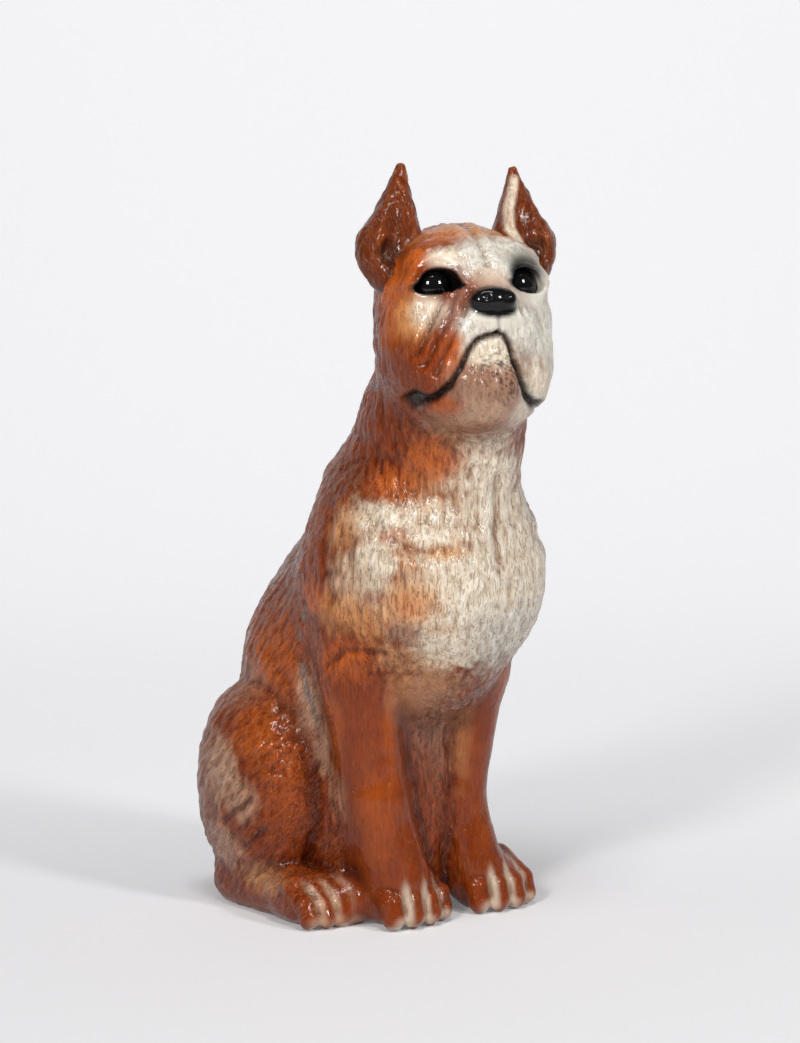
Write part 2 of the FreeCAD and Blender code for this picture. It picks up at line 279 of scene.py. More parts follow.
# %% [markdown]
# ## One field for the whole dog
# The distances are worked out on a grid of points, as a voxel remesh does it. A lump reaches
# only a small block of that grid, and only this block is worked out, which keeps the script
# quick. Loose points can ask for the same distance, so that vertices settle on the clay later.

# %% Filling loose points and a grid
FAR_OFF = 60     # distance written into empty space, in millimetres
SPARE = 3        # what a lump's block is widened by, beside its softness


def press(value, new, soft, cut):
    return carve(value, new, soft) if cut else join(value, new, soft)


def open_grid(axes):
    """The axes as three arrays that span the grid when they are used together."""
    return np.meshgrid(*axes, indexing="ij", sparse=True)


def fill(forms, x, y, z):
    """Joins or carves each form in turn. x, y and z are arrays that fit together."""
    value = forms[0][0](x, y, z)
    for shape, soft, low, high, cut in forms[1:]:
        value = press(value, shape(x, y, z), soft, cut)
    return value


def fill_grid(forms, axes, value):
    """The same on a grid, where each form is worked out only in the block that it reaches."""
    for shape, soft, low, high, cut in forms:
        cells = tuple(slice(np.searchsorted(axis, near - soft - SPARE),
                            np.searchsorted(axis, far + soft + SPARE))
                      for axis, near, far in zip(axes, low, high))
        x, y, z = open_grid([axis[part] for axis, part in zip(axes, cells)])
        value[cells] = press(value[cells], shape(x, y, z), soft, cut)


opened = open_grid([np.arange(n) for n in (3, 4, 5)])
print("a grid of 3 by 4 by 5 points is held as", [axis.shape for axis in opened])

# %% Body and head together
NECK_SOFT = 8
RIM_SOFT = 1.0                                   # rounding of the edge round the base
HEAD_BLOCK = (-62, -140, 205), (56, -12, 330)    # low and high corner of what the head reaches


def figure(x, y, z):
    """Distance to the whole dog without its ears, for loose points."""
    body = fill(body_forms(), x, y, z)
    head = fill(head_forms(), *local(x, y, z, HEAD_AT, HEAD_TURN))
    return carve(join(body, head, NECK_SOFT), z, RIM_SOFT)


def figure_grid(low, high, step):
    axes = [np.arange(a, b, step, dtype=np.float32) for a, b in zip(low, high)]
    value = np.full([len(axis) for axis in axes], FAR_OFF, np.float32)
    fill_grid(body_forms(), axes, value)
    cells = tuple(slice(np.searchsorted(axis, near), np.searchsorted(axis, far))
                  for axis, near, far in zip(axes, *HEAD_BLOCK))
    x, y, z = open_grid([axis[part] for axis, part in zip(axes, cells)])
    head = fill(head_forms(), *local(x, y, z, HEAD_AT, HEAD_TURN))
    value[cells] = join(value[cells], head, NECK_SOFT)
    return axes, carve(value, open_grid(axes)[2], RIM_SOFT)


print("the middle of the chest lies", round(-float(figure(0.0, -50.0, 160.0)), 1), "mm deep")

# %% [markdown]
# ## From the field to a skin
# Surface nets put one vertex in each cell that the surface crosses, and a quad between
# neighbours. Blender's Remesh modifier does much the same, but here the vertices stay in numpy
# for the carving, and are the same in each run. Where two sheets of clay touch across the
# diagonal of a cell's face, four quads would share one edge, so such corners are filled first.

# %% Filling corners where two sheets would share an edge
FILLED = -0.02    # distance written into such a corner


def corner_view(i, j, at_i, at_j):
    """Cuts that pick one corner of each cell face that spans axes i and j."""
    cuts = [slice(None)] * 3
    cuts[i], cuts[j] = slice(at_i, at_i - 1 or None), slice(at_j, at_j - 1 or None)
    return tuple(cuts)


def without_pinches(value):
    for _ in range(8):
        solid = value < 0
        found = 0
        for i, j in ((0, 1), (0, 2), (1, 2)):
            a, b, c, d = (corner_view(i, j, p, q) for p, q in ((0, 0), (1, 1), (1, 0), (0, 1)))
            crossed = (solid[a] == solid[b]) & (solid[c] == solid[d]) & (solid[a] != solid[c])
            found += int(crossed.sum())
            for part in (a, b, c, d):
                value[part][crossed & (value[part] >= 0)] = FILLED
        if not found:
            break
    return value


crossed_face = without_pinches(np.array([-1.0, 1.0, 1.0, -1.0]).reshape(2, 2, 1))
print("solid corners of a crossed face, mended:", int((crossed_face < 0).sum()), "of 4")


# %% One vertex in each crossed cell
def vertices_of(value, axes):
    """The skin's points, and the number of the point in each cell."""
    step = axes[0][1] - axes[0][0]
    shape = [n - 1 for n in value.shape]
    place = np.zeros(shape + [3], np.float32)
    count = np.zeros(shape, np.float32)
    corners = [(i, j, k) for i in (0, 1) for j in (0, 1) for k in (0, 1)]
    for axis in range(3):
        for corner in corners:
            if corner[axis]:
                continue
            other = list(corner)
            other[axis] = 1
            a = value[tuple(slice(c, n + c) for c, n in zip(corner, shape))]
            b = value[tuple(slice(c, n + c) for c, n in zip(other, shape))]
            cross = (a < 0) != (b < 0)
            share = np.where(cross, a / np.where(cross, a - b, 1), 0)
            for k in range(3):
                place[..., k] += np.where(cross, corner[k] + (share if k == axis else 0), 0)
            count += cross
    used = count > 0
    index = np.full(shape, -1, np.int64)
    index[used] = np.arange(used.sum())
    origin = np.array([a[0] for a in axes])
    points = (np.stack(np.nonzero(used), 1) + place[used] / count[used][:, None]) * step + origin
    return points.astype(np.float64), index


ball_axes = [np.arange(-8, 8, 1, dtype=np.float32)] * 3
ball_field = egg(*open_grid(ball_axes), (0, 0, 0), (6, 6, 6))
print("a ball of 6 mm crosses", len(vertices_of(ball_field, ball_axes)[0]), "cells of 1 mm")


# %% A quad round each crossed edge of the grid
def quads_of(value, index):
    inside = value < 0
    quads = []
    for axis in range(3):
        one, two = (axis + 1) % 3, (axis + 2) % 3
        near = [slice(1, n - 1) for n in value.shape]
        far = list(near)
        near[axis], far[axis] = slice(0, -1), slice(1, None)
        first = inside[tuple(near)]
        cross = first != inside[tuple(far)]
        cell = np.stack(np.nonzero(cross), 1)
        cell[:, one] += 1
        cell[:, two] += 1
        ring = []
        for d1, d2 in ((1, 1), (0, 1), (0, 0), (1, 0)):
            c = cell.copy()
            c[:, one] -= d1
            c[:, two] -= d2
            ring.append(index[c[:, 0], c[:, 1], c[:, 2]])
        ring = np.stack(ring, 1)
        flip = ~first[cross]
        ring[flip] = ring[flip][:, ::-1]
        quads.append(ring)
    return np.vstack(quads)


def skin_of(value, axes):
    points, index = vertices_of(value, axes)
    return points, quads_of(value, index)


ball = skin_of(ball_field, ball_axes)
print("the ball gets", len(ball[0]), "vertices and", len(ball[1]), "quads")


# %% Normals, and settling on the true surface
def normals_of(points, quads):
    a, b, c, d = (points[quads[:, i]] for i in range(4))
    face = np.cross(c - a, d - b)
    total = np.zeros_like(points)
    for i in range(4):
        for k in range(3):
            total[:, k] += np.bincount(quads[:, i], face[:, k], len(points))
    return total / (np.linalg.norm(total, axis=1)[:, None] + 1e-12)


def settle(points, quads, distance):
    """Slides each vertex onto the true surface, by 1 mm at most."""
    off = distance(*(points[:, k].astype(np.float32) for k in range(3)))
    return points - normals_of(points, quads) * np.clip(off, -1, 1)[:, None]


outwards = (normals_of(*ball) * ball[0]).sum(1) > 0
print("the ball's normals point outwards:", bool(outwards.all()))

# %% [markdown]
# ## Noise for fur and chips
# A hand never makes two strokes alike. Blender's noise textures could move the vertices through
# a Displace modifier, but the same noise also has to colour them and be asked at other
# places, so a small one is written here, in whole numbers that come out alike everywhere.

# %% Smooth noise and a soft step
def hashed(i, j, k, seed):
    """A number from 0 to 1 for each cell, mixed from its place and the seed."""
    n = (i * 374761393 + j * 668265263 + k * 2147483647 + seed * 974634777) & 0x7FFFFFFF
    n = ((n ^ (n >> 13)) * 1274126177) & 0x7FFFFFFF
    return ((n ^ (n >> 16)) & 0xFFFF) / 65535.0


def noise(x, y, z, seed=0):
    """Smooth noise between 0 and 1."""
    cell = [np.floor(v).astype(np.int64) for v in (x, y, z)]
    part = [v - c for v, c in zip((x, y, z), cell)]
    part = [p * p * (3 - 2 * p) for p in part]
    total = 0
    for i in (0, 1):
        for j in (0, 1):
            for k in (0, 1):
                weight = ((part[0] if i else 1 - part[0]) * (part[1] if j else 1 - part[1])
                          * (part[2] if k else 1 - part[2]))
                total = total + weight * hashed(cell[0] + i, cell[1] + j, cell[2] + k, seed)
    return total


def ramp(value, start, end):
    """0 before start, 1 after end, and smooth between."""
    t = np.clip((value - start) / (end - start), 0, 1)
    return t * t * (3 - 2 * t)


print("noise at three places", [round(float(noise(v, 0.5, 0.5)), 3) for v in (0.1, 0.6, 1.1)])

# %% [markdown]
# ## The modelling tool on the face
# On the real figure the mouth, lids, cheek folds and furrow are drawn in the soft clay with a
# pointed tool, which also raises a small lip beside each line. Knife cuts in the mesh would need
# edges along each line. Here a route is drawn on the head as seen from in front, and each
# vertex near it sinks along its normal, so the skin's own fine quads take up the line.

# %% Distance to a drawn line
def off_line(u, v, route):
    """Distance from points to a drawn line."""
    best = np.full(len(u), 1e3)
    for (a, b), (c, d) in zip(route, route[1:]):
        along = max((c - a) ** 2 + (d - b) ** 2, 1e-9)
        t = np.clip(((u - a) * (c - a) + (v - b) * (d - b)) / along, 0, 1)
        best = np.minimum(best, np.hypot(u - a - t * (c - a), v - b - t * (d - b)))
    return best


def mirrored(route, sides=(-1, 1)):
    """The route on each of the given sides of the head."""
    return [[(side * u, v) for u, v in route] for side in sides]


print("3 mm beside a line:", off_line(np.array([3.0]), np.array([1.0]), [(0, 0), (0, 9)]))

# %% Routes drawn on the face, sideways and up from its middle
LIP_NEAR = [(0, -18.5), (-5, -19.3), (-9, -20.5), (-12.5, -24.5), (-16, -31), (-20.5, -38.5),
            (-25, -42.5), (-29, -42.5), (-32, -39.5)]
LIP_FAR = [(0, -18.5), (3.5, -19.3), (6.2, -22.5), (8.8, -30), (12, -38), (15.5, -43.5),
           (20, -46.5), (25, -46)]
PHILTRUM = [(0, -9), (0.5, -18)]
FURROW = [(0, 38), (0, 26), (0.5, 14)]
CHEEK_LINES = [[(15, 1), (19, -9), (24, -18), (29, -28)],
               [(20, -1), (26, -12), (31, -23)],
               [(12, -6), (17, -14), (21, -23), (25, -32)]]
LID_LINE = [(31, 9), (28, 14.5), (20.5, 17), (13, 13), (9, 7)]
BROW_LINES = [[(26, 24), (19, 27), (12, 25)], [(24, 28), (17, 31), (9, 30)]]
MUZZLE_LINE = [(9, 2), (13, -3), (14, -9)]
# Routes, depth, width, lip raised beside the line, and ink left in it
FACE_CUTS = [([LIP_NEAR, LIP_FAR], 2.2, 1.2, 0.2, 0.85),
             ([LIP_NEAR[5:], LIP_FAR[3:]], 1.2, 2.1, 0.0, 1.0),
             ([PHILTRUM], 0.7, 0.9, 0.1, 0.35),
             ([FURROW], 1.1, 2.2, 0.3, 0.0)]
for route in CHEEK_LINES:
    FACE_CUTS += [(mirrored(route, [-1]), 1.3, 1.5, 0.3, 0.0),
                  (mirrored(route, [1]), 0.5, 1.8, 0.0, 0.0)]
FACE_CUTS.append((mirrored(LID_LINE), 0.7, 0.9, 0.3, 0.0))
FACE_CUTS += [(mirrored(route), 0.45, 1.0, 0.25, 0.0) for route in BROW_LINES]
FACE_CUTS.append((mirrored(MUZZLE_LINE), 0.8, 1.0, 0.3, 0.0))
print("kinds of line on the face", len(FACE_CUTS))

# %% Cutting the lines and the nostrils
NOSTRIL = (5.2, -3.0)     # sideways and up from the middle of the face
NOSTRIL_DEEP, NOSTRIL_WIDE, NOSTRIL_STRETCH = 1.8, 1.3, 1.3


def face_depth(q):
    """Depth of the face's lines, and how much ink lies in them."""
    u, v = q[:, 0], q[:, 2]
    front = ramp(-q[:, 1], 6, 14)
    depth = np.zeros(len(u))
    ink = np.zeros(len(u))
    for routes, deep, wide, lip, colour in FACE_CUTS:
        for route in routes:
            off = off_line(u, v, route)
            line = np.exp(-(off / wide) ** 2)
            depth += deep * line - lip * np.exp(-((off - 2.2 * wide) / wide) ** 2)
            ink = np.maximum(ink, colour * line)
    for side in (-1, 1):
        off = np.hypot((u - side * NOSTRIL[0]) / NOSTRIL_STRETCH, v - NOSTRIL[1])
        depth += NOSTRIL_DEEP * np.exp(-(off / NOSTRIL_WIDE) ** 2)
    return depth * front, ink * front


nostril = face_depth(np.array([[NOSTRIL[0], -50, NOSTRIL[1]]]))[0][0]
print("depth in a nostril", round(float(nostril), 2), "mm")

# %% [markdown]
# ## Folds of the body and the seam
# Loose skin folds over the shoulder, throat and haunch, and a line of pits and scraped plaster
# shows where the two castings meet. These lines run round the body, so they can't be drawn from
# in front as on the face. Their routes go from place to place in space, close to the skin.

# %% Routes over the body
CAPE = [(-47, -46, 194), (-47, -59, 186), (-44, -70, 177), (-37, -80, 172), (-28, -86, 175)]
THROAT_LINES = [[(-2, -92, 204), (-1, -91, 186), (2, -93, 164)],
                [(-16, -89, 209), (-12, -89, 195), (-11, -90, 182)]]
SHOULDER_LINE = [(-51, -35, 185), (-55, -35, 167), (-57, -43, 150)]
LEG_TOP = [(-54, -34, 119), (-53, -48, 128), (-44, -64, 127)]
HAUNCH_LINES = [[(-65, 24, 42), (-64, 6, 54)], [(-63, 14, 30), (-61, 0, 41)]]
SEAM = [(-53, -20, 148), (-51, -15, 138), (-48, -12, 126), (-47, -13, 112), (-46, -15, 101),
        (-41, -18, 86), (-37, -20, 76)]
# Route, depth and width
FOLDS = ([(CAPE, 0.9, 3.4), (SHOULDER_LINE, 0.9, 3.0), (LEG_TOP, 1.0, 2.0)]
         + [(line, 0.6, 2.8) for line in THROAT_LINES]
         + [(line, 1.2, 2.0) for line in HAUNCH_LINES])
print("folds", len(FOLDS))


# %% Sinking the folds, and the pits of the seam
def off_route(p, route):
    """Distance from points to a route in space."""
    best = np.full(len(p), 1e3)
    for start, end in zip(np.array(route, float), np.array(route, float)[1:]):
        along = end - start
        t = np.clip((p - start) @ along / (along @ along), 0, 1)
        best = np.minimum(best, np.linalg.norm(p - start - t[:, None] * along, axis=1))
    return best


def fold_depth(p):
    """Depth of the folds on both sides, each with a low swelling beside it."""
    far = p * np.array([-1, 1, 1])
    depth = 0
    for route, deep, wide in FOLDS:
        for side in (p, far):
            off = off_route(side, route)
            swelling = 0.3 * np.exp(-((off - 2 * wide) / wide) ** 2)
            depth = depth + deep * (np.exp(-(off / wide) ** 2) - swelling)
    return depth


def seam_on(points):
    """How much of the scraped seam lies on each vertex: whole on the near side, half on the far."""
    x, y, z = points.T
    near = np.column_stack([-np.abs(x), y, z])
    pits = ramp(noise(x / 4, y / 3, z / 5, 41), 0.40, 0.62)
    return np.exp(-(off_route(near, SEAM) / 2.2) ** 2) * pits * np.where(x < 0, 1.0, 0.5)


print("depth in a fold", round(float(fold_depth(np.array([LEG_TOP[1]], float))[0]), 2), "mm")

# %% [markdown]
# ## The coat
# The coat of the real figure is combed into the clay as short strokes that run down the chest and
# lean back over flank and haunch. Hair particles would stand on the surface, not in it. Here
# noise drawn out along the coat is folded at its middle value, which leaves sharp creases with
# round backs between them, and two layers of it, coarse and fine, sink the vertices.

# %% Fur and chips
LEAN = math.radians(38)     # on flank and haunch the strokes lean back
# Width, length and depth of the strokes, and the seed of their noise
FUR_LAYERS = (3.4, 12.0, 0.85, 11), (2.2, 7.5, 0.75, 12)
CREASE_DEEP = 0.70          # how far the bottom of a crease sinks, in millimetres


def fur_depth(p, area):
    x, y, z = p.T
    sway = 1.6 * noise(x / 16, y / 16, z / 16, 3)
    across = y * math.cos(LEAN) + z * math.sin(LEAN)
    along = z * math.cos(LEAN) - y * math.sin(LEAN)
    behind = ramp(y, -30, -6)
    total = 0
    for wide, tall, deep, seed in FUR_LAYERS:
        upright = noise(x / wide + sway, y / wide + sway, z / tall, seed)
        sloping = noise(x / wide + sway, across / wide + sway, along / tall, seed)
        n = upright * (1 - behind) + sloping * behind
        total = total + deep * np.abs(2 * n - 1) ** 0.8
    return area * (CREASE_DEEP - total)


def chips(p):
    """Dents along the base's edge, where the figure has been knocked."""
    low = ramp(-p[:, 2], -5, -1)
    n = noise(p[:, 0] / 6, p[:, 1] / 6, p[:, 2] / 3, 31)
    return low * ramp(n, 0.55, 0.75) * 0.6


chest = np.column_stack([np.linspace(-20, 20, 200), np.full(200, -95.0), np.full(200, 160.0)])
strokes_there = fur_depth(chest, 1.0)
print("strokes on the chest go", round(float(np.ptp(strokes_there)), 2), "mm up and down")

# %% [markdown]
# ## The airbrush
# The real figure is sprayed: chestnut all over, then soft spots of cream, orange and grey brown,
# and black round the eyes and on the nose. An image texture would need an unwrapped skin.
# The skin has a vertex each millimetre, so each spot is sprayed on the vertices as a soft egg
# of colour. Places are on the body in the frame's directions, and on the face in the head's.

# %% Palette
def paint(red, green, blue):
    """A colour as seen on the screen, as the linear numbers that Blender mixes."""
    return np.array([((c / 255 + 0.055) / 1.055) ** 2.4 if c > 10 else c / 3294
                     for c in (red, green, blue)])


CHESTNUT = paint(126, 50, 6)
RUSSET = paint(148, 76, 36)
ORANGE = paint(186, 88, 22)
AMBER = paint(204, 140, 84)
CREAM = paint(234, 220, 196)
BISQUE = paint(198, 164, 136)
BLUSH = paint(158, 122, 100)
WHITE = paint(218, 214, 200)
UMBER = paint(84, 42, 22)
MAUVE = paint(146, 106, 86)
TAN = paint(196, 142, 98)
INK = paint(38, 40, 38)
BLACK = paint(10, 9, 9)
PLASTER = paint(222, 214, 200)
SCRAPED = paint(150, 138, 128)
CHIPPED = paint(214, 206, 192)
SHADE_AND_BLOTCH_TINT = np.array([0.42, 0.30, 0.24])    # what painted shade and the blotches of uneven paint leave of a colour
print("chestnut as Blender mixes it", CHESTNUT.round(4))


# %% Spraying a list of spots
def blend(under, over, share):
    share = share[:, None]
    return under * (1 - share) + over * share


def spray(colour, place, spots, rough=0):
    """Each spot is full up to 0.4 of its radii and gone at 1.4, with an edge that noise frays."""
    for centre, radii, tone, strength in spots:
        off = np.sqrt((((place - centre) / radii) ** 2).sum(1)) + rough
        colour = blend(colour, tone, strength * ramp(-off, -1.4, -0.4))
    return colour


def both_sides(spots):
    """Sprays on the dog's right side, and the same on its left."""
    return spots + [((-x, y, z), radii, tone, strength)
                    for (x, y, z), radii, tone, strength in spots]


sample = spray(np.array([CHESTNUT]), np.array([[0.0, 0, 0]]), [((0, 0, 0), (9, 9, 9), CREAM, 0.5)])
print("half a spray of cream on chestnut", sample[0].round(3))

# %% Sprays on both flanks: centre, radii, colour and strength
FLANK_SPRAYS = both_sides([
    ((-30, 30, 125), (50, 60, 80), RUSSET, 0.5), ((-30, -20, 190), (40, 40, 30), RUSSET, 0.4),
    ((-52, 5, 117), (16, 22, 20), ORANGE, 0.55), ((-50, 24, 104), (16, 16, 12), MAUVE, 0.5),
    ((-30, 14, 172), (30, 28, 26), UMBER, 0.4), ((-42, -32, 202), (16, 20, 14), UMBER, 0.4),
    ((-60, 8, 84), (14, 16, 12), ORANGE, 0.5), ((-57, -8, 64), (12, 12, 28), ORANGE, 0.25),
    ((-64, 28, 66), (11, 13, 17), BISQUE, 0.65), ((-65, 12, 53), (9, 12, 10), BISQUE, 0.5),
    ((-62, 28, 30), (10, 14, 10), BISQUE, 0.5), ((-58, 46, 50), (20, 16, 34), MAUVE, 0.6),
    ((-60, 2, 18), (10, 18, 7), TAN, 0.7), ((-56, 33, 7), (12, 16, 8), CHESTNUT, 0.6),
    ((-50, -14, 30), (12, 12, 18), CHESTNUT, 0.7),
    ((-45, -16, 101), (7, 9, 15), BISQUE, 0.5), ((-40, -22, 80), (8, 9, 15), BISQUE, 0.5),
    ((-42, -34, 60), (5, 8, 12), BISQUE, 0.3),
    ((-46, -48, 96), (12, 15, 34), CHESTNUT, 0.9), ((-40, -54, 50), (9, 9, 22), ORANGE, 0.3),
    # The narrow orange strips along the front and back edges of each foreleg's outer side are
    # painted highlights.
    ((-32, -60, 92), (5, 8, 34), ORANGE, 0.6), ((-48, -34, 100), (5, 8, 30), ORANGE, 0.5)])
print("sprays on the flanks", len(FLANK_SPRAYS))

# %% Sprays on the chest, throat and forelegs
CHEST_SPRAYS = [
    ((-34, -78, 168), (34, 32, 40), TAN, 0.6), ((-22, -84, 206), (20, 20, 26), TAN, 0.5),
    ((-10, -94, 205), (17, 18, 26), CREAM, 0.75), ((4, -92, 192), (24, 18, 26), CREAM, 0.9),
    ((-46, -56, 187), (10, 13, 8), CREAM, 0.8), ((-40, -68, 185), (11, 12, 9), CREAM, 0.9),
    ((-31, -82, 183), (14, 15, 13), CREAM, 0.9), ((-50, -62, 166), (10, 13, 15), CREAM, 0.85),
    ((-52, -50, 158), (10, 12, 12), BISQUE, 0.8),
    ((-14, -92, 154), (38, 34, 28), CREAM, 1.0), ((24, -88, 160), (24, 28, 36), CREAM, 1.0),
    ((8, -88, 132), (26, 22, 18), WHITE, 0.8), ((-24, -80, 132), (17, 16, 15), CREAM, 0.85),
    ((-44, -70, 180), (9, 9, 4), RUSSET, 0.7), ((-28, -86, 173), (12, 10, 3.5), AMBER, 0.7),
    ((-41, -79, 151), (15, 14, 11), AMBER, 0.75), ((-42, -78, 149), (9, 9, 7), ORANGE, 0.3),
    ((-41, -72, 137), (10, 10, 4.5), MAUVE, 0.9), ((-26, -80, 139), (10, 10, 4), BISQUE, 0.8),
    ((-54, -27, 149), (9, 10, 8), ORANGE, 0.9),
    ((-55, -48, 144), (10, 15, 11), AMBER, 0.6), ((-50, -60, 140), (9, 10, 9), AMBER, 0.5),
    ((-50, -46, 124), (13, 18, 10), ORANGE, 0.65), ((-36, -66, 126), (12, 12, 8), TAN, 0.6),
    ((-50, -44, 182), (8, 11, 11), TAN, 0.7), ((-22, -66, 110), (16, 16, 20), TAN, 0.75),
    # The mauve and chestnut sprays that darken the belly downwards between the forelegs are painted
    # shade.
    ((-8, -62, 104), (20, 16, 20), MAUVE, 0.6), ((-4, -54, 82), (14, 14, 26), MAUVE, 0.6),
    ((-10, -50, 60), (12, 14, 18), CHESTNUT, 0.6),
    # The narrow amber strip along the inner edge of the far foreleg is a painted highlight.
    ((13, -56, 84), (6, 9, 26), AMBER, 0.45), ((23, -60, 60), (8, 8, 30), ORANGE, 0.4),
    ((26, -56, 79), (11, 11, 42), CHESTNUT, 0.75),
    ((-36, -58, 228), (18, 24, 20), CHESTNUT, 0.9), ((36, -40, 225), (18, 30, 22), CHESTNUT, 0.7),
    ((-30, -80, 213), (14, 14, 9), ORANGE, 0.8), ((-40, -66, 203), (12, 14, 8), ORANGE, 0.7)]
print("sprays on the chest", len(CHEST_SPRAYS))

# %% Sprays on the face
FACE_SPRAYS = [
    ((-34, -18, 0), (16, 22, 44), CHESTNUT, 0.8), ((-36, -14, 14), (8, 16, 14), ORANGE, 0.75),
    ((0, -24, 34), (34, 18, 9), TAN, 0.85), ((-16, -24, 30), (12, 12, 8), ORANGE, 0.45),
    ((2, -40, 18), (16, 15, 14), WHITE, 1.0), ((15, -38, 18), (15, 16, 13), WHITE, 0.95),
    ((-17, -34, 18), (9, 8, 5), CREAM, 0.85), ((-29, -26, 20), (8, 10, 8), ORANGE, 0.8),
    ((-35, -22, 6), (8, 13, 12), ORANGE, 1.0), ((-38, -20, -10), (6, 14, 12), ORANGE, 0.7),
    ((28, -24, -10), (20, 30, 34), WHITE, 1.0),
    ((-31, -28, -7), (9, 12, 11), AMBER, 0.9), ((-26, -32, -5), (8, 8, 8), CREAM, 0.8),
    ((-35, -22, -28), (10, 16, 14), CHESTNUT, 0.85), ((-29, -28, -34), (11, 14, 12), CHESTNUT, 0.8),
    ((4, -44, -14), (24, 20, 17), WHITE, 1.0), ((-11, -44, -14), (10, 12, 11), WHITE, 0.9),
    ((-19, -39, -24), (6, 10, 10), ORANGE, 1.0),
    ((-5, -40, -41), (18, 16, 19), BLUSH, 0.95), ((-2, -44, -25), (13, 12, 8), CREAM, 0.9),
    ((-6, -44, -40), (10, 10, 9), MAUVE, 0.55), ((-6, -36, -54), (30, 26, 8), BISQUE, 0.6),
    ((20, -30, -46), (12, 16, 18), CREAM, 0.85),
    ((-23, -34, -48), (8, 12, 5), ORANGE, 0.8), ((-20, -16, -50), (12, 12, 6), BLUSH, 0.6),
    ((20, -34, 14), (11, 12, 8), INK, 0.75), ((20, -34, 12), (9, 12, 6), INK, 0.8),
    ((0, -44, 8), (10, 10, 6), TAN, 0.35), ((-20, -33, 7), (12, 12, 7.5), UMBER, 0.7),
    ((-12, -42, -2), (5, 8, 5), MAUVE, 0.5)]
STREAK = [(-9, 2), (-14, -5), (-18, -11), (-24, -21), (-28, -31)]   # dark line down the cheek
print("sprays on the face", len(FACE_SPRAYS))

# %% Almonds of black round the eyes, and the black of the nose: centre and radii
EYE_SPRAYS = [((-20.0, -32, 7.6), (8.9, 14, 6.2)), ((-20.8, -32, 5.8), (11.2, 14, 4.0)),
              ((-12.9, -34, 4.4), (3.4, 12, 1.9)),
              ((18.8, -34, 8.2), (8.2, 14, 6.4)), ((18.6, -34, 5.4), (10.6, 14, 3.9))]
NOSE_SPRAY = ((0, -48, -4), (12.0, 9, 7.8))
print("black sprays", len(EYE_SPRAYS) + 1)

# %% Pale toes: place of the paw, distance between toes, and colour
PAWS = [((-19, -50), 9.6, CREAM), ((33, -51), 9.6, CREAM),
        ((-50, -24), 7.5, BISQUE), ((50, -24), 7.5, BISQUE)]
TOE_SPRAYS = []
for (x, y), apart, tone in PAWS:
    for k in (-1, 0, 1):
        TOE_SPRAYS += [((x + k * apart, y - 8 + 2 * abs(k), 11), (2.6, 11, 11), tone, 0.85),
                       ((x + k * apart * 1.3, y - 14, 3), (5, 6, 4), tone, 0.45)]
print("sprays on the toes", len(TOE_SPRAYS))

# %% [markdown]
# ## Painted shade in the hollows
# After spraying, the colour is darkened in the strokes and folds as painted shade, and the ridges
# are lightened as a painted highlight. In a shader that is the Pointiness of Cycles, but an
# exported model would lose it. Here the bend of the skin is measured on its quads and mixed into
# the colour.


# %% How much the skin bends at each vertex
def curvature(points, quads, normal, rounds):
    """Positive in hollows, negative on ridges, smoothed over some rounds."""
    count = np.bincount(quads.ravel(), minlength=len(points)) * 2.0
    around = np.zeros_like(points)
    for i in range(4):
        for j in (1, 3):
            for k in range(3):
                beside = points[quads[:, (i + j) % 4], k]
                around[:, k] += np.bincount(quads[:, i], beside, len(points))
    bend = ((around / count[:, None] - points) * normal).sum(1)
    for _ in range(rounds):
        mean = np.zeros(len(points))
        for i in range(4):
            for j in (1, 2, 3):
                mean += np.bincount(quads[:, i], bend[quads[:, (i + j) % 4]], len(points))
        bend = mean / (count * 1.5)
    return bend


print("bend of the ball", round(float(curvature(*ball, normals_of(*ball), 1).mean()), 3), "mm")

# %% [markdown]
# ## Two castings from one skin
# The real halves are cast in two moulds and joined. Two skins made apart would never meet
# exactly, so the dog is one skin that is parted along the castings' joint. Both halves keep
# the same vertices along it, and each is then closed, so that it is a solid piece of its own.

# %% The parting between the castings
PARTING_UP = (0, 105, 130, 156, 200, 240, 262, 290, 340)
PARTING_BACK = (-24, -24, -21, -17, -30, -48, -62, -66, -66)
FOOT_SLOPE = 0.92      # below, the parting swings forward round the hind feet
FOOT_START = 3


def parting_gap(p):
    """How far a point lies behind the parting."""
    back = np.interp(p[:, 2], PARTING_UP, PARTING_BACK)
    low = np.minimum(back, FOOT_START - FOOT_SLOPE * np.abs(p[:, 0]))
    return p[:, 1] - np.where(p[:, 2] < PARTING_UP[1], low, back)


print("the middle of the belly lies", parting_gap(np.array([[0.0, 8, 120]]))[0], "mm behind it")


# %% Places on the head
def to_head(p):
    return (p - np.array(HEAD_AT)) @ HEAD_TURN.astype(np.float64)


def head_share(q):
    """1 on the head and 0 on the body, meeting under the jaw and behind the ears."""
    return ramp(q[:, 2] - 0.6 * np.maximum(q[:, 1] + 14, 0), -60, -52)


print("the head's middle has share", head_share(np.zeros((1, 3)))[0])

# %% [markdown]
# ## Carving and spraying
# The real clay is carved before it is moulded, and the cast is sprayed last. The same order is
# kept here. First all depths are added up and each vertex sinks once along its normal, so that
# crossing lines don't twist the skin. Then the carved skin is coloured, because the painted shade
# has to find the hollows that the carving made.


# %% Where the coat lies
def coat_on(points, q, face):
    """How much fur there is: less on face and forelegs, little at nose and eyes, none below."""
    x, y, z = points.T
    foreleg = ramp(-y, 28, 40) * ramp(-z, -128, -100) * ramp(np.abs(x + 2), 9, 17)
    near_nose = ramp(-np.hypot(q[:, 0], q[:, 2] + 3.5), -15, -10)
    near_eye = ramp(-np.hypot(np.abs(q[:, 0]) - 20, q[:, 2] - 8), -14, -10)
    bald = np.maximum(near_nose, near_eye) * face
    return (1 - 0.4 * face - 0.6 * bald) * (1 - 0.7 * foreleg) * ramp(z, 1, 9)


back_place = np.array([[0.0, 60, 150]])
print("fur on the back", coat_on(back_place, to_head(back_place), 0)[0])

# %% Carving the skin
SEAM_DEEP = 1.3       # in millimetres
UNDERSIDE = 0.3       # vertices below this stay where they are


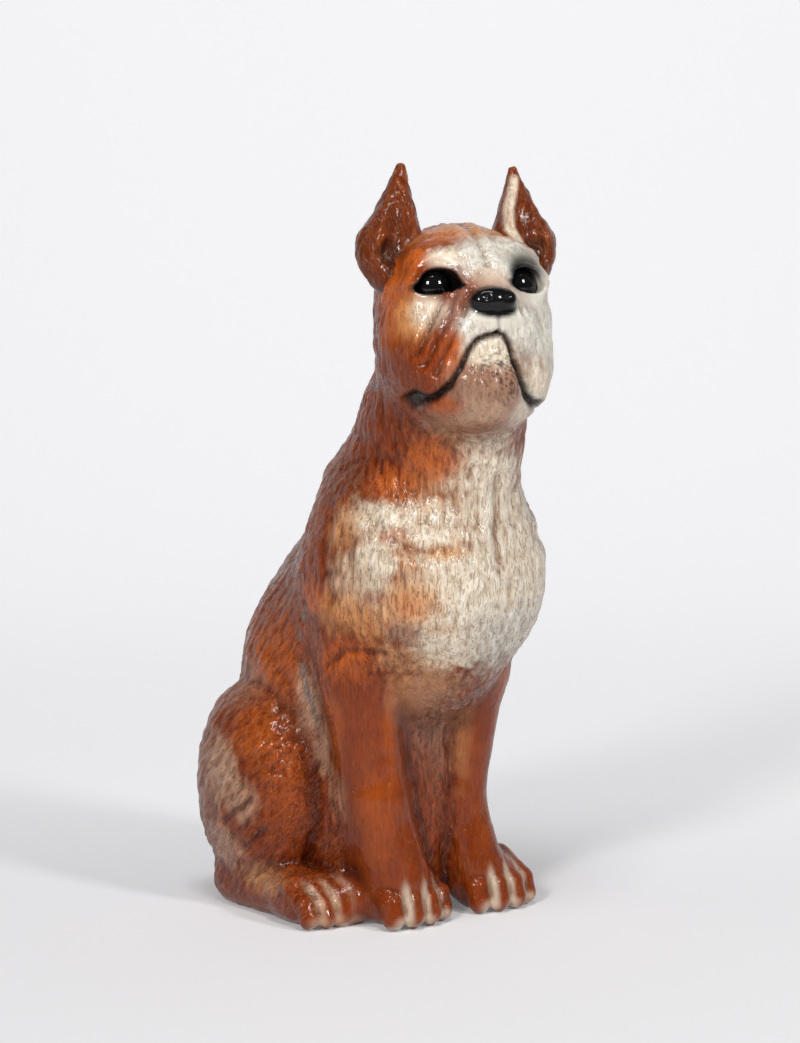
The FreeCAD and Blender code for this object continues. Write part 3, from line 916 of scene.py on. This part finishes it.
def carve_skin(points, quads):
    """Cuts everything in along the normals, and keeps the underside flat."""
    q = to_head(points)
    in_head = head_share(q)
    face = in_head * ramp(-q[:, 1], 4, 16)
    fur, seam = coat_on(points, q, face), seam_on(points)
    lines, ink = face_depth(q)
    depth = (lines * in_head + fold_depth(points) * (1 - in_head) + fur_depth(points, fur)
             + chips(points) + SEAM_DEEP * seam)
    carved = points - normals_of(points, quads) * depth[:, None]
    z = points[:, 2]
    carved[:, 2] = np.where(z < UNDERSIDE, z, np.maximum(carved[:, 2], 0.0))
    return carved, fur, face, ink * in_head, seam


ball_carved = carve_skin(*ball)
print("fur sinks the ball by up to", round(float(np.abs(ball_carved[0] - ball[0]).max()), 2), "mm")


# %% Spraying the skin
EDGE_ROUGH = 0.5                      # how ragged the edge of a spray is, in its radii
TIGHT_BEND, WIDE_BEND = 0.10, 0.045   # bend in millimetres that takes the whole painted shade


def sprayed(points, q, fur):
    x, y, z = points.T
    rough = EDGE_ROUGH * (noise(x / 2.2, y / 2.2, z / 7, 71) - 0.5) * (0.3 + fur)
    colour = np.tile(CHESTNUT, (len(points), 1))
    colour = spray(colour, points, FLANK_SPRAYS + CHEST_SPRAYS, rough)
    colour = spray(colour, points, TOE_SPRAYS)
    on_face = spray(colour, q, FACE_SPRAYS, 0.5 * rough)
    streak = np.exp(-(off_line(q[:, 0], q[:, 2], STREAK) / 3.2) ** 2)
    on_face = blend(on_face, CHESTNUT, 0.8 * streak * ramp(-q[:, 1], 10, 24))
    return blend(colour, on_face, head_share(q))


def painted_shade_and_highlight(colour, points, quads, fur, face):
    """Painted shade in the strokes and folds, and a painted highlight on the ridges."""
    normal = normals_of(points, quads)
    hollow = np.clip(curvature(points, quads, normal, 1) / TIGHT_BEND, -1, 1)
    deep = np.clip(curvature(points, quads, normal, 6) / WIDE_BEND, 0, 1)
    # Darkening in the hollows of the strokes and in the broad creases is painted shade.
    painted_shade = np.clip(hollow, 0, 1) * (0.35 + 0.45 * fur) + 0.7 * deep * (1 - 0.4 * face)
    colour = colour * (1 - np.clip(painted_shade, 0, 0.9)[:, None] * (1 - SHADE_AND_BLOTCH_TINT))
    # Lighter paint on the ridges is a painted highlight.
    return blend(colour, np.clip(colour * 1.8, 0, 0.85), np.clip(-hollow, 0, 1) * fur * 0.5)


ball_coat = sprayed(ball[0], to_head(ball[0]), np.ones(len(ball[0])))
print("the ball is sprayed", ball_coat.mean(0).round(3))


# %% Ink, and bare plaster
def inked(colour, q, ink):
    """Whisker dots on the chin, ink in the lines, and black round the eyes and on the nose."""
    dots = ramp(noise(*(q / 0.95).T, 51), 0.56, 0.66)
    dots = dots * ramp(-np.hypot(q[:, 0] - 2, q[:, 2] + 36), -17, -6)
    colour = blend(colour, INK, 0.8 * dots * ramp(-q[:, 1], 20, 30))
    colour = blend(colour, BLACK, np.clip(ink * 1.2, 0, 0.95))
    for spot, tone in [(almond, BLACK * 2) for almond in EYE_SPRAYS] + [(NOSE_SPRAY, BLACK)]:
        off = np.sqrt((((q - spot[0]) / spot[1]) ** 2).sum(1))
        colour = blend(colour, tone, ramp(-off, -1.15, -0.88) * head_share(q))
    return colour


def worn(colour, points, seam):
    colour = blend(colour, SCRAPED, 0.7 * seam)
    chip = ramp(-points[:, 2], -4, -0.5) * ramp(noise(*(points / 5).T, 31), 0.5, 0.7) * 0.7
    return blend(colour, CHIPPED, chip)


def paint_skin(points, quads, fur, face, ink, seam):
    q = to_head(points)
    colour = painted_shade_and_highlight(sprayed(points, q, fur), points, quads, fur, face)
    return worn(inked(colour, q, ink), points, seam)


ball_paint = paint_skin(ball_carved[0], ball[1], *ball_carved[1:])
print("with wash, ink and wear it is", ball_paint.mean(0).round(3))

# %% [markdown]
# ## From numbers to Blender pieces
# The points and quads become a mesh with two attributes that the shader reads: the sprayed
# colour, and how much fur there is. A half that is parted from the skin is an open shell, but
# a real casting has thickness and its own volume. So each half gets a lip that turns inwards
# along the joint and one flat face across it, and is closed like a casting.


# %% A mesh with its paint and fur as attributes
def make_mesh(name, points, faces, colour, fur, normals=None):
    mesh = bpy.data.meshes.new(name)
    mesh.from_pydata((points * MM).tolist(), [], faces)
    mesh.shade_smooth()
    layer = mesh.color_attributes.new("paint", "FLOAT_COLOR", "POINT")
    opaque = np.column_stack([colour, np.ones(len(colour))])
    layer.data.foreach_set("color", opaque.astype(np.float32).ravel())
    layer = mesh.attributes.new("fur", "FLOAT", "POINT")
    layer.data.foreach_set("value", np.asarray(fur, np.float32))
    if normals is not None:
        mesh.normals_split_custom_set_from_vertices(normals.tolist())
    piece = bpy.data.objects.new(name, mesh)
    bpy.context.scene.collection.objects.link(piece)
    print(name, "vertices", len(mesh.vertices), "faces", len(mesh.polygons))
    return piece


# %% The open edge of a half
def open_edges(quads):
    """The loops of vertices round the holes of a set of quads."""
    edges = np.vstack([quads[:, [i, (i + 1) % 4]] for i in range(4)])
    key = edges.min(1) * (quads.max() + 1) + edges.max(1)
    order = np.argsort(key, kind="stable")
    same = np.diff(key[order]) == 0
    twin = np.zeros(len(key), bool)
    twin[order[1:][same]] = True
    twin[order[:-1][same]] = True
    after = {}
    for a, b in edges[~twin].tolist():
        after.setdefault(a, []).append(b)
    loops = []
    while after:
        start = next(iter(after))
        loop, here = [start], after[start].pop()
        if not after[start]:
            del after[start]
        while here != start:
            loop.append(here)
            nexts = after[here]
            there = nexts.pop()
            if not nexts:
                del after[here]
            here = there
        loops.append(loop)
    return loops


print("open edges of the ball", len(open_edges(ball[1])))

# %% Closing a half with a lip and a wall
LIP_DEEP = 2.5     # how far the lip turns into the plaster, in millimetres


def wall_of(loop, points, normals, first):
    """Closes a hole with a short lip into the plaster and a flat wall across it."""
    inner = points[loop] - LIP_DEEP * normals[loop]
    for _ in range(3):
        inner = sum(np.roll(inner, k, 0) for k in range(-4, 5)) / 9
    inner[:, 1] -= parting_gap(inner)
    n = len(loop)
    faces = [[loop[(i + 1) % n], loop[i], first + i, first + (i + 1) % n] for i in range(n)]
    faces.append([first + i for i in reversed(range(n))])
    return inner, faces


def half(name, points, quads, chosen, normals, colour, fur):
    """The chosen quads as a closed piece, with the normals of the whole skin."""
    used, numbers = np.unique(quads[chosen], return_inverse=True)
    quads = numbers.reshape(-1, 4)
    points, normals, colour, fur = points[used], normals[used], colour[used], fur[used]
    faces, walls = quads.tolist(), []
    for loop in open_edges(quads):
        inner, more = wall_of(loop, points, normals, len(used) + sum(map(len, walls)))
        walls.append(inner)
        faces += more
    extra = sum(map(len, walls))
    print(name, "triangles", 2 * len(quads), "holes closed", len(walls))
    return make_mesh(name, np.vstack([points] + walls), faces,
                     np.vstack([colour, np.tile(PLASTER, (extra, 1))]),
                     np.append(fur, np.zeros(extra)),
                     np.vstack([normals, np.tile([0, 0, 1.0], (extra, 1))]))


# %% [markdown]
# ## Making the two castings
# Now the steps run in turn: the clay, with a recess for the disc that closes the real figure from
# below, then the smooth skin, the carving, the spraying and the parting. Both halves keep the
# normals of the whole skin, so that no line of shade shows where they meet.

# %% The clay, with room for the disc in its underside
FIGURE_BLOCK = (-72, -130, -3), (72, 72, 318)
DISC_AT, DISC_WIDE, DISC_LONG, DISC_ROUND, DISC_DEEP = 14, 40.2, 32.2, 2.3, 6.0
DISC_RADIUS = 32  # turns the ring's ratio into millimetres
LOW_PART = 9      # the recess lies below this height, in millimetres


def disc_recess(x, y, z):
    ring = np.abs(x / DISC_WIDE) ** DISC_ROUND + np.abs((y - DISC_AT) / DISC_LONG) ** DISC_ROUND
    return np.maximum((ring ** (1 / DISC_ROUND) - 1) * DISC_RADIUS, z - DISC_DEEP)


axes, value = figure_grid(*FIGURE_BLOCK, SKIN_STEP)
x, y, z = open_grid(axes)
low = slice(0, int(np.searchsorted(axes[2], LOW_PART)))
value[:, :, low] = carve(value[:, :, low], disc_recess(x, y, z[:, :, low]), 0)
print("grid points", value.size)

# %% The smooth skin
SETTLED_FROM = 7.5     # above the recess, vertices settle on the clay
FLAT_BELOW = 0.6       # below this, they lie on the table

points, quads = skin_of(without_pinches(value), axes)
settled = settle(points, quads, figure)
points = np.where(points[:, 2:] > SETTLED_FROM, settled, points)
points[:, 2] = np.where(points[:, 2] < FLAT_BELOW, 0.0, points[:, 2])
print("skin vertices", len(points))

# %% The carved and sprayed skin
carved, fur, face, ink, seam = carve_skin(points, quads)
colour = paint_skin(carved, quads, fur, face, ink, seam)
normals = normals_of(carved, quads)
print("carved up to", round(float(np.linalg.norm(carved - points, axis=1).max()), 2), "mm")

# %% The two halves
behind = parting_gap(points[quads].mean(1)) > 0
front_skin = half("front_skin", carved, quads, ~behind, normals, colour, fur)
back_skin = half("back_skin", carved, quads, behind, normals, colour, fur)
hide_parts("front_casting")
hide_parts("back_casting")
for piece in (front_skin, back_skin):
    check = bmesh.new()
    check.from_mesh(piece.data)
    loose = sum(len(edge.link_faces) != 2 for edge in check.edges)
    litres = check.calc_volume() / MM ** 3 / 1e6
    print(piece.name, "open or crossed edges", loose, "volume", round(litres, 3), "litres")
    check.free()

# %% [markdown]
# ## Ears
# The cropped ears are cast by themselves and set on: a rounded lobe below, a blade that runs up
# to a point, and a scoop inside. A bent plane with thickness would give them an even sheet,
# but the real ones are solid and swell at the root. They are made as the dog is, on a finer
# grid of their own, and each stays a piece that replaces its CAD node.


# %% Lumps of an ear
def ear_forms(s):
    tip = (-22.2, -4, 66) if s < 0 else (30.5, -4, 64.5)
    lobe, blade = (-32, -28) if s < 0 else (34, 32)
    return [lump((lobe, -2, 27), (13, 11, 15), 0),
            lump((lobe * .9, -4, 14), (9, 11, 12), 5),
            rod((blade, -1, 34), tip, 14, 2.2, 8),
            lump((blade, -19, 41), (9, 9, 21), 4, ry=s * 6, cut=True),
            lump((lobe * 1.04, -12, 26), (3.8, 4, 5), 5, cut=True)]


print("lumps in an ear", len(ear_forms(1)))

# %% Paint of an ear
LEFT_RIM_HIGHLIGHT = [(29.5, 60), (25, 46), (24, 36), (29, 27)]    # cream painted highlight along the fold of the far ear
rim_tall = LEFT_RIM_HIGHLIGHT[0][1] - LEFT_RIM_HIGHLIGHT[-1][1]
print("the cream edge is", rim_tall, "mm tall")


def ear_colour(s, points, quads, q):
    root = -33 if s < 0 else 35
    # Both dark sprays low in the bowl are a painted shadow in the ear's hollow.
    hollow = [((root, -10, 25), (6, 10, 8), UMBER * 0.5, 0.7),
              ((root, -12, 36), (9, 10, 18), UMBER, 0.3)]
    colour = spray(np.tile(CHESTNUT * 0.65, (len(points), 1)), q, hollow)
    if s > 0:
        # The cream line along the fold is a painted highlight.
        rim_highlight = ramp(-off_line(q[:, 0], q[:, 2], LEFT_RIM_HIGHLIGHT), -3.2, -1.2)
        colour = blend(colour, CREAM, 0.85 * rim_highlight * ramp(-q[:, 1], 4, 8))
    # Darker in the ear's hollows and orange on its ridges: painted shade and painted highlight.
    bend = curvature(points, quads, normals_of(points, quads), 1)
    bend = np.clip(bend / 0.06, -1, 1)
    colour = blend(colour, UMBER * 0.6, np.clip(bend, 0, 1) * 0.5)
    return blend(colour, ORANGE, np.clip(-bend, 0, 1) * 0.25)


# %% The two ears
EAR_BLOCKS = {-1: ((-66, 14), (-104, -24), (262, 352)), 1: ((-14, 60), (-112, -36), (262, 352))}


def ear_skin(s):
    axes = [np.arange(a, b, EAR_STEP, dtype=np.float32) for a, b in EAR_BLOCKS[s]]
    forms = ear_forms(s)

    def distance(x, y, z):
        return fill(forms, *local(x, y, z, HEAD_AT, HEAD_TURN))

    points, quads = skin_of(distance(*open_grid(axes)), axes)
    points = settle(points, quads, distance)
    q = to_head(points)
    fur = 1 - 0.3 * ramp(-q[:, 1], 3, 9)      # less fur in the scoop
    points = points - normals_of(points, quads) * fur_depth(points, 0.9 * fur)[:, None]
    side = "right" if s < 0 else "left"
    colour = ear_colour(s, points, quads, q)
    piece = make_mesh("ear_skin_" + side, points, quads.tolist(), colour, fur)
    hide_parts("ear_" + side)
    return piece


ear_skins = [ear_skin(-1), ear_skin(1)]

# %% [markdown]
# ## Eyes
# The eyes are read as smooth domes of black gloss that bulge between the lids. Only the front of
# each shows, but a whole ball costs little, closes itself and fills its socket from any side.


# %% The two balls
def eye_dome(s):
    side = "right" if s < 0 else "left"
    bpy.ops.mesh.primitive_uv_sphere_add(segments=64, ring_count=40, radius=EYE_RADIUS * MM)
    piece = bpy.context.object
    piece.name = "eye_dome_" + side
    centre = np.array([s * EYE_AT[0], EYE_AT[1], EYE_AT[2]]) @ HEAD_TURN.T + HEAD_AT
    piece.data.transform(Matrix.Translation(centre * MM))
    piece.data.shade_smooth()
    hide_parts("eye_" + side)
    print(piece.name, "at", centre.round(1), "mm")
    return piece


eye_domes = [eye_dome(-1), eye_dome(1)]
for piece in [front_skin, back_skin] + ear_skins + eye_domes:
    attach(piece, "root")
print("pieces made here", len(ear_skins + eye_domes) + 2)

# %% [markdown]
# ## Paint under lacquer
# Sprayed paint on plaster is matt, and the lacquer over it gives the shine. In the shader that is
# a dull base with little specular and a smooth coat on top. The vertices hold the large colours,
# and noise drawn out along the coat adds what is finer than the vertices: painted shade in the
# strokes, painted highlights on the hairs, and a bump that breaks up the reflections.

# %% One shader for every finish
def material(name, colour, roughness, coat=0.0, metallic=0.0):
    made = bpy.data.materials.new(name)
    made.use_nodes = True
    shader = made.node_tree.nodes["Principled BSDF"]
    shader.inputs["Base Color"].default_value = (*colour, 1)
    shader.inputs["Roughness"].default_value = roughness
    shader.inputs["Metallic"].default_value = metallic
    shader.inputs["Coat Weight"].default_value = coat
    shader.inputs["Coat Roughness"].default_value = 0.07
    shader.inputs["Coat IOR"].default_value = 1.45
    if coat:
        shader.inputs["Specular IOR Level"].default_value = 0.05
    print("finish", name, [round(float(c), 3) for c in colour])
    return made, shader


# %% Small helpers for the shader's nodes
def add_node(tree, kind, **inputs):
    """Adds a node and sets or links its inputs, which are named as in the editor."""
    made = tree.nodes.new("ShaderNode" + kind)
    for name, value in inputs.items():
        socket = made.inputs[int(name[1:]) if name[0] == "_" else name.replace("_", " ")]
        if isinstance(value, bpy.types.NodeSocket):
            tree.links.new(value, socket)
        else:
            socket.default_value = value
    return made


def sums(tree, operation, *values):
    """A Math node on two or three values."""
    made = add_node(tree, "Math", **{"_%d" % k: value for k, value in enumerate(values)})
    made.operation = operation
    return made.outputs[0]


def mixed(tree, amount, base, top, how="MIX"):
    made = tree.nodes.new("ShaderNodeMix")
    made.data_type, made.blend_type = "RGBA", how
    tree.links.new(amount, made.inputs["Factor"])
    tree.links.new(base, made.inputs["A"])
    made.inputs["B"].default_value = (*top, 1)
    return made.outputs["Result"]


# %% Strokes of the coat in the shader
def strokes(tree, place, lean, across, along):
    """Noise drawn out along the coat, which leans back by an angle."""
    leant = add_node(tree, "Mapping", Vector=place, Rotation=(lean, 0, 0))
    size = (1 / (across * MM), 1 / (across * MM), 1 / (along * MM))
    scaled = add_node(tree, "Mapping", Vector=leant.outputs["Vector"], Scale=size)
    grain = add_node(tree, "TexNoise", Vector=scaled.outputs["Vector"], Scale=1.0, Detail=2.0,
                     Distortion=0.8)
    return grain.outputs["Fac"]


def between(tree, value, low, high):
    """0 at low and 1 at high, and smooth between."""
    made = add_node(tree, "MapRange", Value=value, From_Min=low, From_Max=high)
    made.interpolation_type = "SMOOTHSTEP"
    return made.outputs["Result"]


# %% Uneven paint, painted shade in the strokes and painted glints
BLOTCH_SCALE, BLOTCH_DARK = 0.11, 0.25      # blotches for each millimetre, and their strength
# painted shade in the grooves of the strokes, and painted highlight on the hairs
GROOVE_SHADE, PAINTED_GLINT = 0.6, 0.18
print("blotches of uneven paint are about", round(1 / BLOTCH_SCALE), "mm wide")


def coat_colour(tree, place, groove, glint):
    sprayed_on = add_node(tree, "Attribute")
    sprayed_on.attribute_name = "paint"
    blotch = add_node(tree, "TexNoise", Vector=place, Scale=BLOTCH_SCALE / MM, Detail=4.0)
    uneven = add_node(tree, "MapRange", Value=blotch.outputs["Fac"], From_Min=0.42, From_Max=0.62)
    uneven = sums(tree, "MULTIPLY", uneven.outputs["Result"], BLOTCH_DARK)
    darker = mixed(tree, uneven, sprayed_on.outputs["Color"], SHADE_AND_BLOTCH_TINT, "MULTIPLY")
    # The grooves of the strokes are darkened as painted shade, and the hairs lightened amber as a
    # painted highlight.
    groove = sums(tree, "MULTIPLY", groove, GROOVE_SHADE)
    shaded_grooves = mixed(tree, groove, darker, SHADE_AND_BLOTCH_TINT, "MULTIPLY")
    return mixed(tree, sums(tree, "MULTIPLY", glint, PAINTED_GLINT), shaded_grooves, AMBER)


# %% Relief of the strokes, too fine for the vertices
GRAIN_SCALE, GRAIN_SHARE = 0.9, 0.4
BUMP_STRENGTH, BUMP_DEEP = 0.8, 0.5         # depth in millimetres
print("bump in the strokes", BUMP_DEEP, "mm deep")


def coat_bump(tree, place, fur, groove, glint):
    grain = add_node(tree, "TexNoise", Vector=place, Scale=GRAIN_SCALE / MM, Detail=3.0)
    grain = sums(tree, "MULTIPLY", grain.outputs["Fac"], fur)
    relief = sums(tree, "SUBTRACT", glint, groove)
    height = sums(tree, "MULTIPLY_ADD", grain, GRAIN_SHARE, relief)
    bump = add_node(tree, "Bump", Height=height, Strength=BUMP_STRENGTH, Distance=BUMP_DEEP * MM)
    return bump.outputs["Normal"]


# %% The painted finish
STROKE = 1.2, 5.5             # width and length of a stroke, in millimetres
GROOVE_RANGE = 0.44, 0.38     # where the noise starts to be a groove, and where it is one
GLINT_RANGE = 0.56, 0.68


def painted_plaster(name, lean):
    made, shader = material(name, CHESTNUT, 0.4, coat=0.7)
    tree = made.node_tree
    place = add_node(tree, "TexCoord").outputs["Object"]
    fur = add_node(tree, "Attribute")
    fur.attribute_name = "fur"
    fur = fur.outputs["Fac"]
    coat = strokes(tree, place, lean, *STROKE)
    groove = sums(tree, "MULTIPLY", between(tree, coat, *GROOVE_RANGE), fur)
    glint = sums(tree, "MULTIPLY", between(tree, coat, *GLINT_RANGE), fur)
    tree.links.new(coat_colour(tree, place, groove, glint), shader.inputs["Base Color"])
    normal = coat_bump(tree, place, fur, groove, glint)
    tree.links.new(normal, shader.inputs["Normal"])
    tree.links.new(normal, shader.inputs["Coat Normal"])
    print(name, "nodes", len(tree.nodes))
    return made


front_paint = painted_plaster("painted front", 0.0)
back_paint = painted_plaster("painted back", -LEAN)
ear_paint = painted_plaster("painted ears", 0.3)

# %% [markdown]
# ## Plain finishes
# The eyes are black gloss enamel, the bead and the disc are bare plaster, and the wires are bright
# steel. None of them has a pattern that would show at this size, so each is one plain shader.
# The bead, the disc and the wires keep their CAD meshes, because they are hidden or plain.

# %% Eyes, bare plaster and wire
eye_black = material("eye black", BLACK, 0.12, coat=1.0)[0]
bare_plaster = material("bare plaster", PLASTER, 0.8)[0]
steel_wire = material("steel wire", (0.55, 0.55, 0.55), 0.35, metallic=1.0)[0]
print("finishes", len(bpy.data.materials))


# %% Putting the finishes on
def dress(piece, made):
    piece.data.materials.clear()
    piece.data.materials.append(made)


dress(front_skin, front_paint)
dress(back_skin, back_paint)
for piece in ear_skins:
    dress(piece, ear_paint)
for piece in eye_domes:
    dress(piece, eye_black)
for name, made in (("seam_bead", bare_plaster), ("base_disc", bare_plaster),
                   ("ear_wire_left", steel_wire), ("ear_wire_right", steel_wire)):
    dress(nodes[name], made)
print("dressed pieces", 4 + len(ear_skins + eye_domes) + 2)

# %% [markdown]
# ## Table and backdrop
# The figure is photographed on a sheet of pale paper that curves up behind it. A flat floor and a
# wall would show a corner. The paper's paleness comes from its own colour, and from a glow that
# only the camera and the reflections see, so it puts no light on the figure.

# %% Profile of the paper, and its glow along the way
PAPER_TURN = math.radians(-42)     # the paper runs away from the camera
PAPER_BACK, PAPER_RISE, PAPER_BEND, PAPER_HALF = 0.9, 2.2, 0.5, 3.0     # in metres
profile = [(-2.2, 0.0), (-0.3, 0.0), (0.0, 0.0), (0.25, 0.0), (0.8, 0.0), (PAPER_BACK, 0.0)]
glow = [0.0, 0.0, 0.13, 0.30, 0.465, 0.485]
for a in np.linspace(0.1, math.pi / 2, 16):
    profile.append((PAPER_BACK + PAPER_BEND * math.sin(a), PAPER_BEND * (1 - math.cos(a))))
    glow.append(0.49 - 0.02 * a)
profile.append((PAPER_BACK + PAPER_BEND, PAPER_RISE))
glow.append(0.46)
print("rows of the paper", len(profile))


# %% Paper that glows for the camera and in reflections
def paper():
    made, shader = material("sweep paper", (0.76, 0.755, 0.765), 0.95)
    tree = made.node_tree
    ray = add_node(tree, "LightPath").outputs
    bright = add_node(tree, "Attribute")
    bright.attribute_name = "glow"
    seen = sums(tree, "MAXIMUM", ray["Is Camera Ray"], ray["Is Glossy Ray"])
    seen = sums(tree, "MAXIMUM", seen, ray["Is Transmission Ray"])
    shown = sums(tree, "MULTIPLY", bright.outputs["Fac"], seen)
    tree.links.new(shown, shader.inputs["Emission Strength"])
    shader.inputs["Emission Color"].default_value = (0.98, 0.985, 1.0, 1)
    return made


# %% The sheet itself
def sweep():
    """One pale sheet: a table that curves up into the backdrop."""
    points = []
    for along, up in profile:
        for side in (-PAPER_HALF, PAPER_HALF):
            away = (-math.sin(PAPER_TURN) * along, math.cos(PAPER_TURN) * along)
            across = (math.cos(PAPER_TURN) * side, math.sin(PAPER_TURN) * side)
            points.append((away[0] + across[0], away[1] + across[1], up))
    faces = [[2 * i, 2 * i + 1, 2 * i + 3, 2 * i + 2] for i in range(len(profile) - 1)]
    mesh = bpy.data.meshes.new("sweep")
    mesh.from_pydata(points, [], faces)
    mesh.shade_smooth()
    layer = mesh.attributes.new("glow", "FLOAT", "POINT")
    layer.data.foreach_set("value", np.repeat(np.float32(glow), 2))
    mesh.materials.append(paper())
    piece = bpy.data.objects.new("sweep", mesh)
    bpy.context.scene.collection.objects.link(piece)
    print("paper of", len(mesh.polygons), "strips,", 2 * PAPER_HALF, "m wide")
    return piece


sweep()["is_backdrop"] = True

# %% [markdown]
# ## Lamps
# Small sharp glints in the eyes and on the lacquer show that the figure was lit by softboxes on
# the left and right, and one above. A sun would give hard shadows, so area lamps of that size
# are used, and a weak, slightly blue world fills the shadows.


# %% Softboxes
def direction(azimuth, elevation):
    """Unit vector towards an azimuth from the front and an elevation, both in degrees."""
    a, e = math.radians(azimuth), math.radians(elevation)
    return np.array([math.sin(a) * math.cos(e), -math.cos(a) * math.cos(e), math.sin(e)])


LAMP_AIM = np.array((0, -0.03, 0.18))     # the middle of the figure, in metres
LAMP_AWAY = 1.5


def softbox(name, azimuth, elevation, size, watts):
    away = direction(azimuth, elevation)
    data = bpy.data.lights.new(name, "AREA")
    data.shape = "RECTANGLE"
    data.size, data.size_y = size
    data.energy = watts
    lamp = bpy.data.objects.new(name, data)
    lamp.location = LAMP_AIM + away * LAMP_AWAY
    lamp.rotation_euler = Vector(away).to_track_quat("Z", "Y").to_euler()
    bpy.context.scene.collection.objects.link(lamp)
    print(name, watts, "W")


softbox("left softbox", -64, 26, (0.24, 0.32), 12)
softbox("right softbox", 4, 26, (0.24, 0.32), 10)
softbox("top softbox", -44, 66, (0.4, 0.4), 8)

# %% The room's own light
ROOM_COLOUR, ROOM_STRENGTH = (0.95, 0.96, 1.0, 1), 0.11
world = bpy.context.scene.world or bpy.data.worlds.new("room")
bpy.context.scene.world = world
world.use_nodes = True
room = world.node_tree.nodes["Background"].inputs
room["Color"].default_value, room["Strength"].default_value = ROOM_COLOUR, ROOM_STRENGTH
print("room strength", ROOM_STRENGTH)

# %% [markdown]
# ## Camera
# The photograph was taken from the dog's right and a little above it. A camera that is placed by
# angle, distance and the point it looks at is easier to fit than one with a free location.

# %% The photograph's view
CAMERA_AIM = (-3.4, -29.4, 180)            # in millimetres of the figure
CAMERA_TURN, CAMERA_RISE, CAMERA_AWAY = -42.0, 6.5, 1500
CAMERA_LENS, CAMERA_SENSOR = 113.9, 36
CAMERA_CLIP = 0.05


def camera():
    away = direction(CAMERA_TURN, CAMERA_RISE)
    data = bpy.data.cameras.new("camera")
    data.lens, data.sensor_width = CAMERA_LENS, CAMERA_SENSOR
    data.clip_start = CAMERA_CLIP
    made = bpy.data.objects.new("camera", data)
    made.location = (np.array(CAMERA_AIM) + away * CAMERA_AWAY) * MM
    made.rotation_euler = Vector(away).to_track_quat("Z", "Y").to_euler()
    bpy.context.scene.collection.objects.link(made)
    bpy.context.scene.camera = made
    print("camera at", [round(v, 3) for v in made.location])


camera()
bpy.context.scene.view_settings.view_transform = "Standard"

# %% [markdown]
# ## Measuring the result
# The CAD model holds the real figure's size, and a skin that is carved and blended could grow
# past it unseen. The sidebar shows the dimensions of one piece at a time, so the box of the
# whole figure is worked out here and printed, as the CAD model's box was at the start. The whole
# figure has to stay inside the CAD model's box.

# %% Both boxes
low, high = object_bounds()
print("visual box", [round(v, 4) for v in (*low, *high)])
